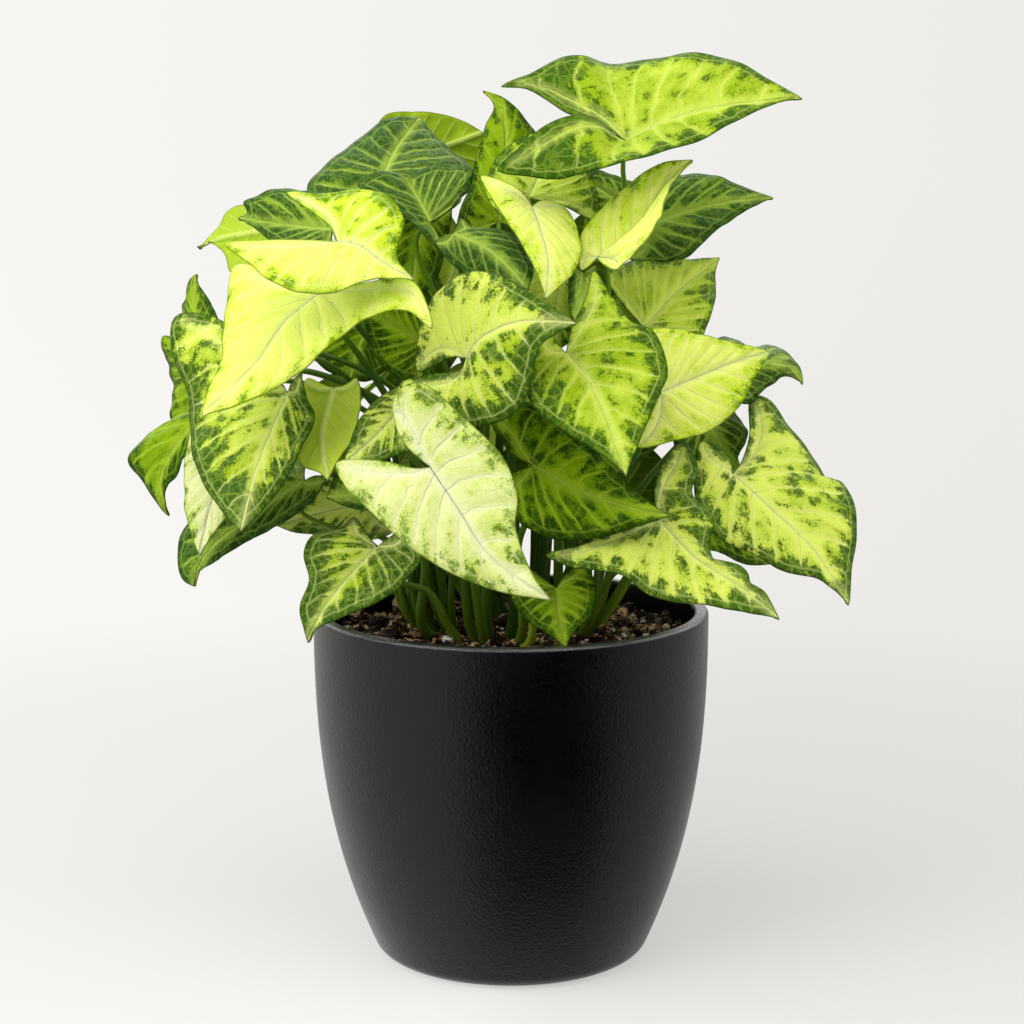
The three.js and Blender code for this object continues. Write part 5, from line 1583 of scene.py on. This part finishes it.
@dataclass
class Pot:
    """The tapered round pot.

    Attributes:
        height: from the foot to the rim.
        foot_radius: the wall's radius at the foot, if it had no rounding there.
        flare: how much wider the rim is than that.
        flare_power: how soon the wall stands upright.
        fillet: the rounding at the foot.
        rim_round: the rounding at the rim.
        wall: the wall's thickness.
        floor: the floor's thickness.
        sides: sides of the round mesh.
    """

    MEETING = 0.9  # makes the foot's rounding run into the wall without a kink

    height: float = 142.4
    foot_radius: float = 54.5
    flare: float = 26.0
    flare_power: float = 2.6
    fillet: float = 8.0
    rim_round: float = 1.4
    wall: float = 5.8
    floor: float = 7.0
    sides: int = 224

    def radius(self, z: np.ndarray | float) -> np.ndarray:
        """The outside radius at a height."""
        return self.foot_radius + self.flare * (1 - (1 - np.asarray(z) / self.height) ** self.flare_power)

    @staticmethod
    def bend(r: float, z: float, size: float, start: float, end: float) -> list[tuple[float, float]]:
        """Points of a rounding about a middle, without its ends."""
        return [(r + size * math.cos(a), z + size * math.sin(a)) for a in np.linspace(start, end, 12)[1:-1]]

    def profile(self) -> np.ndarray:
        """Radius and height of the shell, from the middle of its foot round to its floor's middle."""
        rim = self.rim_round
        rim_z = self.height - rim
        rim_r = float(self.radius(rim_z))
        slope = self.flare * self.flare_power / self.height * (1 - self.fillet / self.height) ** self.MEETING
        lean = math.atan(slope)
        wall_z = self.fillet * (1 - math.sin(lean))
        foot_r = float(self.radius(wall_z)) - self.fillet * math.cos(lean)
        outside = np.linspace(wall_z, rim_z, 96)
        inside = np.linspace(rim_z, self.floor, 40)
        return np.array([
            *((r, 0.0) for r in np.linspace(0.0, foot_r, 12)),
            *self.bend(foot_r, self.fillet, self.fillet, -math.pi / 2, -lean),
            *zip(self.radius(outside), outside),
            *self.bend(rim_r - rim, rim_z, rim, 0, math.pi / 2),
            (rim_r - rim, self.height),
            (rim_r - self.wall / 2, self.height),
            (rim_r - self.wall + rim, self.height),
            *self.bend(rim_r - self.wall + rim, rim_z, rim, math.pi / 2, math.pi),
            *zip(self.radius(inside) - self.wall, inside),
            *((r, self.floor) for r in np.linspace(self.radius(self.floor) - self.wall, 0, 10)[1:]),
        ])

    def build(self, glaze: Material) -> None:
        """Turns the shell and dresses it."""
        profile = self.profile()
        turn = turns(self.sides)
        r, z = profile[:, :1], profile[:, 1:]
        grid = np.stack([r * np.cos(turn), r * np.sin(turn), np.broadcast_to(z, (len(z), self.sides))], -1)
        body = grid[1:-1].reshape(-1, 3)
        points = np.vstack([body, [[0, 0, 0]], [[0, 0, self.floor]]])
        faces = grid_faces(len(profile) - 2, self.sides, 0, closed=True).tolist()
        last = (len(profile) - 3) * self.sides
        faces += [[len(body), (k + 1) % self.sides, k] for k in range(self.sides)]
        faces += [[len(body) + 1, last + k, last + (k + 1) % self.sides] for k in range(self.sides)]
        pot = Draft(points, faces).piece("pot_shell", [glaze], "pot")
        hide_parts("pot")


@dataclass(frozen=True)
class Grains:
    """One kind of loose grain on the mound.

    Attributes:
        name: the piece's name.
        finish: its look.
        count: how many there are.
        smallest: the smallest half length, half width and half thickness.
        largest: the largest ones.
        tilt: how far they lean, in radians.
        sink: how deep they lie, as a share of their half thickness.
        rough: how uneven they are.
        seed: their random numbers.
    """

    name: str
    finish: EarthFinish
    count: int
    smallest: Point
    largest: Point
    tilt: float
    sink: float
    rough: float
    seed: int


PEAT = EarthFinish("peat", (0.004, 0.002, 0.0012), (0.22, 0.12, 0.07), scale=0.6, rough=0.95, lit=0.36)
STRAW = EarthFinish("fibre", (0.10, 0.06, 0.03), (0.45, 0.32, 0.19), scale=0.5, rough=0.8, lit=0.45)
LOOSE_GRAINS = (
    Grains(
        "bark_chips",
        EarthFinish("bark", (0.006, 0.003, 0.0018), (0.98, 0.60, 0.36), scale=0.6, rough=0.8, lit=0.41),
        count=620, smallest=(1.5, 1.0, 0.6), largest=(6.6, 3.6, 2.4),
        tilt=0.45, sink=0.38, rough=0.15, seed=1),
    Grains(
        "peat_crumbs",
        EarthFinish("crumb", (0.008, 0.0035, 0.002), (1.0, 0.68, 0.44), scale=0.9, rough=0.9, lit=0.46),
        count=1300, smallest=(0.5, 0.4, 0.35), largest=(1.7, 1.3, 1.0),
        tilt=0.5, sink=0.3, rough=0.18, seed=2),
    Grains(
        "perlite_grains",
        EarthFinish("perlite", (0.42, 0.38, 0.31), (0.86, 0.84, 0.79), scale=0.7, rough=0.8, lit=0.62),
        count=100, smallest=(0.5, 0.45, 0.4), largest=(2.3, 1.8, 1.5),
        tilt=0.3, sink=0.1, rough=0.16, seed=3),
)


@dataclass
class SoilBed:
    """The potting mix: a mound of peat strewn with bark, perlite and fibres.

    Attributes:
        edge_height: the mound's height at the pot's wall.
        crown_height: its height in the middle.
        rim_radius: how far out it goes.
        bottom: how deep the modelled mound is.
        rings: rings of points from the middle to the edge.
        sides: points of a ring.
        grit: how uneven its surface is.
        fibre_count: how many fibres lie on it.
    """

    FIBRE_SEED = 9
    FIBRE_RINGS = 9
    FIBRE_SIDES = 5

    edge_height: float = 130.5
    crown_height: float = 134.3
    rim_radius: float = 74.2
    bottom: float = 118.0
    rings: int = 90
    sides: int = 240
    grit: float = 0.22
    fibre_count: int = 110

    def height(self, x: np.ndarray, y: np.ndarray) -> np.ndarray:
        """The mound's height, with its lumps."""
        r = np.hypot(x, y) / self.rim_radius
        lumps = (
            0.9 * np.sin(x * 0.31 + 1.2) * np.sin(y * 0.27 - 0.4)
            + 0.6 * np.sin(x * 0.71 + y * 0.43) + 0.4 * np.sin(y * 1.13 - x * 0.57 + 2)
            + 0.3 * np.sin(x * 1.9 + 0.3) * np.sin(y * 2.1)
        )
        mound = self.edge_height + (self.crown_height - self.edge_height) * (1 - r ** 2)
        return mound + 0.75 * lumps * (1 - r ** 6)

    def bed(self) -> Draft:
        """The mound itself."""
        rings, sides = self.rings, self.sides
        share = np.linspace(0, 1, rings + 1)[1:, None]
        turn = turns(sides)
        x = share * self.rim_radius * np.cos(turn)
        y = share * self.rim_radius * np.sin(turn)
        grit = np.random.default_rng(SEED).normal(0, self.grit, x.shape) * (share < 0.99)
        top = np.stack([x, y, self.height(x, y) + grit], -1)
        skirt = top[-1:] * np.array([1, 1, 0]) + np.array([0, 0, self.bottom])
        points = np.vstack([top.reshape(-1, 3), skirt.reshape(-1, 3)])
        middle = len(points)
        points = np.vstack([points, [[0, 0, self.crown_height]], [[0, 0, self.bottom]]])
        faces = grid_faces(rings + 1, sides, 0, closed=True)[:, ::-1].tolist()
        faces += [[middle, k, (k + 1) % sides] for k in range(sides)]
        faces += [[middle + 1, rings * sides + (k + 1) % sides, rings * sides + k] for k in range(sides)]
        return Draft(points, faces)

    @staticmethod
    def pebble() -> tuple[np.ndarray, np.ndarray]:
        """A round of 42 points and 80 faces, one millimetre in radius."""
        ratio = (1 + math.sqrt(5)) / 2
        corners = [(s, t * ratio, 0) for s in (-1, 1) for t in (-1, 1)]
        points = [unit(np.array(c)) for c in corners]
        points += [unit(np.array([0, c[0], c[1]])) for c in corners]
        points += [unit(np.array([c[1], 0, c[0]])) for c in corners]
        points = np.array(points)
        gaps = np.linalg.norm(points[:, None] - points[None], axis=2)
        edge = gaps[gaps > 0.1].min() * 1.01
        faces = [
            (a, b, c) for a in range(12) for b in range(a + 1, 12) for c in range(b + 1, 12)
            if max(gaps[a, b], gaps[b, c], gaps[a, c]) < edge
        ]
        made = points.tolist()
        halves: dict[tuple[int, int], int] = {}
        split = []

        def half(a: int, b: int) -> int:
            """The number of the point halfway between two."""
            key = (min(a, b), max(a, b))
            if key not in halves:
                halves[key] = len(made)
                made.append(unit(points[a] + points[b]).tolist())
            return halves[key]

        for a, b, c in faces:
            if np.dot(np.cross(points[b] - points[a], points[c] - points[a]), points[a]) < 0:
                b, c = c, b
            ab, bc, ca = half(a, b), half(b, c), half(c, a)
            split += [(a, ab, ca), (b, bc, ab), (c, ca, bc), (ab, bc, ca)]
        return np.array(made), np.array(split)

    def strew(self, grains: Grains) -> Draft:
        """Loose grains of one kind on the mound, as one mesh."""
        chance = np.random.default_rng(SEED + grains.seed)
        count = grains.count
        ball, faces = self.pebble()
        reach = self.rim_radius * np.sqrt(chance.uniform(0, 1, count))
        heading = chance.uniform(0, 2 * math.pi, count)
        mix = chance.uniform(0, 1, (count, 1)) ** 2.2
        size = np.array(grains.smallest) * (1 - mix) + np.array(grains.largest) * mix
        size *= chance.uniform(0.75, 1.25, (count, 3))
        reach = np.minimum(reach, self.rim_radius - size[:, 0] * 0.9)
        x, y = reach * np.cos(heading), reach * np.sin(heading)
        turn = chance.uniform(0, 2 * math.pi, count)
        lean = chance.normal(0, grains.tilt, count)
        shaped = ball[None] * (1 + chance.normal(0, grains.rough, (count, len(ball), 1)))
        shaped = np.sign(shaped) * np.abs(shaped) ** 0.8 * size[:, None]
        leaned = self.turned(shaped, lean, 0, 2)
        placed = self.turned(leaned, turn, 0, 1)
        middle = np.stack([x, y, self.height(x, y) + size[:, 2] * (1 - grains.sink)], -1)
        points = (placed + middle[:, None]).reshape(-1, 3)
        offsets = np.arange(count)[:, None, None] * len(ball)
        return Draft(points, (faces[None] + offsets).reshape(-1, 3))

    @staticmethod
    def turned(points: np.ndarray, angles: np.ndarray, first: int, second: int) -> np.ndarray:
        """Groups of points turned, each by its own angle, from one axis towards another."""
        c, s = np.cos(angles)[:, None], np.sin(angles)[:, None]
        result = points.copy()
        result[..., first] = points[..., first] * c - points[..., second] * s
        result[..., second] = points[..., first] * s + points[..., second] * c
        return result

    def fibre(self, chance: np.random.Generator) -> Draft:
        """One thin curved fibre that lies on the mound."""
        rings, sides = self.FIBRE_RINGS, self.FIBRE_SIDES
        reach = (self.rim_radius - 8) * math.sqrt(chance.uniform())
        heading, bearing = chance.uniform(0, 2 * math.pi, 2)
        length, curl = chance.uniform(6, 18), chance.normal(0, 0.08)
        t = np.linspace(0, 1, rings)
        swing = bearing + curl * length * t
        x = reach * math.cos(heading) + np.cumsum(np.cos(swing)) * length / rings
        y = reach * math.sin(heading) + np.cumsum(np.sin(swing)) * length / rings
        out = np.maximum(np.hypot(x, y) / (self.rim_radius - 1), 1)
        x, y = x / out, y / out
        z = self.height(x, y) + 0.7 + 1.6 * np.sin(math.pi * t) * chance.uniform(0, 1)
        centre = np.stack([x, y, z], -1)
        thick = chance.uniform(0.18, 0.42) * (1 - 0.6 * np.abs(2 * t - 1))
        ahead = unit(np.gradient(centre, axis=0))
        side = unit(np.cross(ahead, UP))
        top = np.cross(side, ahead)
        turn = turns(sides)
        round_it = np.cos(turn)[None, :, None] * side[:, None] + np.sin(turn)[None, :, None] * top[:, None]
        last = (rings - 1) * sides
        faces = grid_faces(rings, sides, 0, closed=True)[:, ::-1].tolist()
        faces += [list(range(sides)), [last + k for k in reversed(range(sides))]]
        return Draft((centre[:, None] + thick[:, None, None] * round_it).reshape(-1, 3), faces)

    def build(self) -> None:
        """Builds the mound and everything on it."""
        bed = self.bed().piece("soil_bed", [PEAT.material()], "soil")
        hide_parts("soil")
        for grains in LOOSE_GRAINS:
            self.strew(grains).piece(grains.name, [grains.finish.material()], "soil")
        chance = np.random.default_rng(SEED + self.FIBRE_SEED)
        fibres = joined([self.fibre(chance) for _ in range(self.fibre_count)])
        fibres.piece("soil_fibres", [STRAW.material()], "soil")


@dataclass(frozen=True)
class Lamp:
    """A flat square soft lamp that points at the plant.

    Attributes:
        name: its name.
        place: where it stands.
        target: the height on the plant's axis that it points at.
        side: its width and depth.
        power: watts.
    """

    name: str
    place: Point
    target: float
    side: float
    power: float

    def build(self) -> None:
        """Adds the lamp, unseen in mirrored light."""
        data = bpy.data.lights.new(self.name, "AREA")
        data.shape = "RECTANGLE"
        data.size = data.size_y = self.side * MM
        data.energy = self.power
        lamp = bpy.data.objects.new(self.name, data)
        lamp.location = np.array(self.place) * MM
        aim = unit(np.array([0.0, 0.0, self.target]) - np.array(self.place, float))
        lamp.rotation_euler = (math.acos(-aim[2]), 0, math.atan2(-aim[0], aim[1]))
        lamp.visible_glossy = False
        bpy.context.scene.collection.objects.link(lamp)


@dataclass
class Studio:
    """The pale floor, soft lamps and the camera.

    Attributes:
        lens: the camera's focal length.
        sensor: the camera's sensor width.
        shift: how far the view is moved sideways, as a share of its width.
        eye: where the camera stands.
        pitch: how far it looks down, in degrees.
        floor_colour: the floor near the pot.
        left_colour: the surroundings on the left.
        right_colour: the surroundings on the right.
        ambient: the light that they give.
        mirrored_left: how bright they're mirrored on the left.
        mirrored_right: the same on the right.
        mirrored_front: the same at the dark side.
        mirrored_below: the same below.
        mirrored_above: the same above.
        dark_side: the direction of the dark side, from the pot.
        floor_glow: the share of painted light near the pot: the floor glows there in the surroundings'
            colour, which lightens the shadows on it.
        fade_start: where the floor starts to fade into the surroundings, in metres.
        fade_end: where it has become them.
        floor_rings: radii of the floor's rings.
        floor_sides: sides of a ring.
        floor_drop: how far the floor lies below the pot's foot.
    """

    LAMPS = (
        Lamp("key_lamp", place=(-860, -440, 600), target=170, side=1150, power=11.5),
        Lamp("fill_lamp", place=(840, -320, 430), target=170, side=800, power=4.0),
        Lamp("top_lamp", place=(-60, -420, 1150), target=200, side=900, power=9.0),
    )

    lens: float = 77.87
    sensor: float = 36.0
    shift: float = 0.001
    eye: Point = (0.0, -VIEW_DISTANCE, VIEW_HEIGHT)
    pitch: float = 8.7
    floor_colour: Colour = (0.73, 0.722, 0.706)
    left_colour: Colour = (0.942, 0.934, 0.91)
    right_colour: Colour = (0.835, 0.822, 0.795)
    ambient: float = 0.24
    mirrored_left: float = 0.95
    mirrored_right: float = 0.68
    mirrored_front: float = 0.03
    mirrored_below: float = 0.95
    mirrored_above: float = 6.0
    dark_side: Point = (0.326, -0.946, 0.0)
    floor_glow: float = 0.6
    fade_start: float = 0.25
    fade_end: float = 0.8
    floor_rings: Point = (400.0, 1200.0, 2000.0, 4000.0, 40000.0)
    floor_sides: int = 96
    floor_drop: float = 0.05

    def backdrop(self, g: Graph, across: Value) -> Value:
        """The surroundings' colour from the far left, at -1, to the far right, at 1."""
        return g.mix(g.fade(across, -0.4, 0.4), self.left_colour, self.right_colour)

    def floor_finish(self) -> Material:
        """The floor's material: painted light, glowing in the surroundings' colour, lightens it near the
        pot, and far out it fades into the surroundings.
        """
        g = Graph("studio_floor")
        place = g.place()
        reach = g.vectors("LENGTH", place).outputs["Value"]
        x = g.node("SeparateXYZ", {0: place}).outputs[0]
        dull = tuple(c * 0.995 for c in self.floor_colour)
        tone = g.mix(g.fade(g.noise(place, 3, 2), 0.3, 0.7), self.floor_colour, dull)
        shader = g.surface(tone, 0.9, None, 0.1)
        across = g.maths("DIVIDE", x, g.maths("MAXIMUM", reach, 0.01))
        glow = g.node("Emission", {"Color": self.backdrop(g, across), "Strength": 1.0}).outputs[0]
        # painted light: near the pot a share of the floor glows, which lightens the shadows there; far out
        # all of it glows.
        far = g.fade(reach, self.fade_start, self.fade_end, self.floor_glow, 1)
        return g.finish(g.blend(far, shader, glow))

    def floor(self) -> None:
        """A wide pale floor."""
        turn = turns(self.floor_sides)
        ring = np.stack([np.cos(turn), np.sin(turn), np.zeros_like(turn)], -1)
        radii = np.array(self.floor_rings)[:, None, None]
        points = (radii * ring[None]).reshape(-1, 3) + np.array([0, 0, -self.floor_drop])
        faces = grid_faces(len(radii), self.floor_sides, 0, closed=True)[:, ::-1].tolist()
        mesh = bpy.data.meshes.new("studio_floor")
        mesh.from_pydata((points * MM).tolist(), [], faces + [list(range(self.floor_sides))])
        mesh.materials.append(self.floor_finish())
        floor = bpy.data.objects.new("studio_floor", mesh)
        bpy.context.scene.collection.objects.link(floor)
        floor.visible_glossy = False

    def surroundings(self) -> None:
        """A pale backdrop that gives only a little of the light and is mirrored dark in front."""
        world = bpy.data.worlds.new("studio")
        world.use_nodes = True
        g = Graph("studio", world.node_tree)
        heading = g.node("TexCoord").outputs["Generated"]
        x, _, z = g.node("SeparateXYZ", {0: heading}).outputs
        level = g.vectors("MULTIPLY", heading, (1.0, 1.0, 0.0)).outputs[0]
        level = g.vectors("NORMALIZE", level).outputs[0]
        ahead = g.vectors("DOT_PRODUCT", level, self.dark_side).outputs["Value"]
        rays = g.node("LightPath").outputs
        seen, glossy = rays["Is Camera Ray"], rays["Is Glossy Ray"]
        sides = g.times(
            g.fade(ahead, 0.6, 0.85, 1.0, self.mirrored_front),
            g.fade(x, -0.8, 0.8, self.mirrored_left, self.mirrored_right))
        below = g.fade(z, -0.93, -0.7, self.mirrored_below, 0.0)
        above = g.fade(z, 0.22, 0.5, 0.0, self.mirrored_above)
        mirrored = g.maths("MAXIMUM", g.maths("MAXIMUM", sides, below), above)
        rest = g.maths("SUBTRACT", 1.0, g.maths("MAXIMUM", seen, glossy))
        strength = g.total(seen, g.times(glossy, mirrored), g.times(rest, self.ambient))
        back = g.node("Background", {"Color": self.backdrop(g, x), "Strength": strength})
        g.node("OutputWorld", {"Surface": back.outputs[0]})
        bpy.context.scene.world = world

    def camera(self) -> None:
        """Sets up the camera."""
        data = bpy.data.cameras.new("camera")
        data.lens = self.lens
        data.sensor_width = self.sensor
        data.shift_x = self.shift
        camera = bpy.data.objects.new("camera", data)
        camera.location = np.array(self.eye) * MM
        camera.rotation_euler = (math.radians(90 - self.pitch), 0, 0)
        bpy.context.scene.collection.objects.link(camera)
        bpy.context.scene.camera = camera

    def build(self) -> None:
        """Sets up everything around the plant."""
        bpy.context.scene.view_settings.view_transform = "Standard"
        self.surroundings()
        self.floor()
        for lamp in self.LAMPS:
            lamp.build()
        self.camera()


def main() -> None:
    """Builds the plant, piece by piece."""
    logging.basicConfig(level=logging.INFO, format="%(name)s %(message)s")
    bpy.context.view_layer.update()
    Studio().build()
    Pot().build(PotFinish().material())
    SoilBed().build()
    crown = LeafCrown()
    crown.build()
    skin = StalkFinish().material()
    for clump in Clump:
        StalkClump(clump).build(crown, skin)
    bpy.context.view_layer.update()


if __name__ == "__main__":
    main()
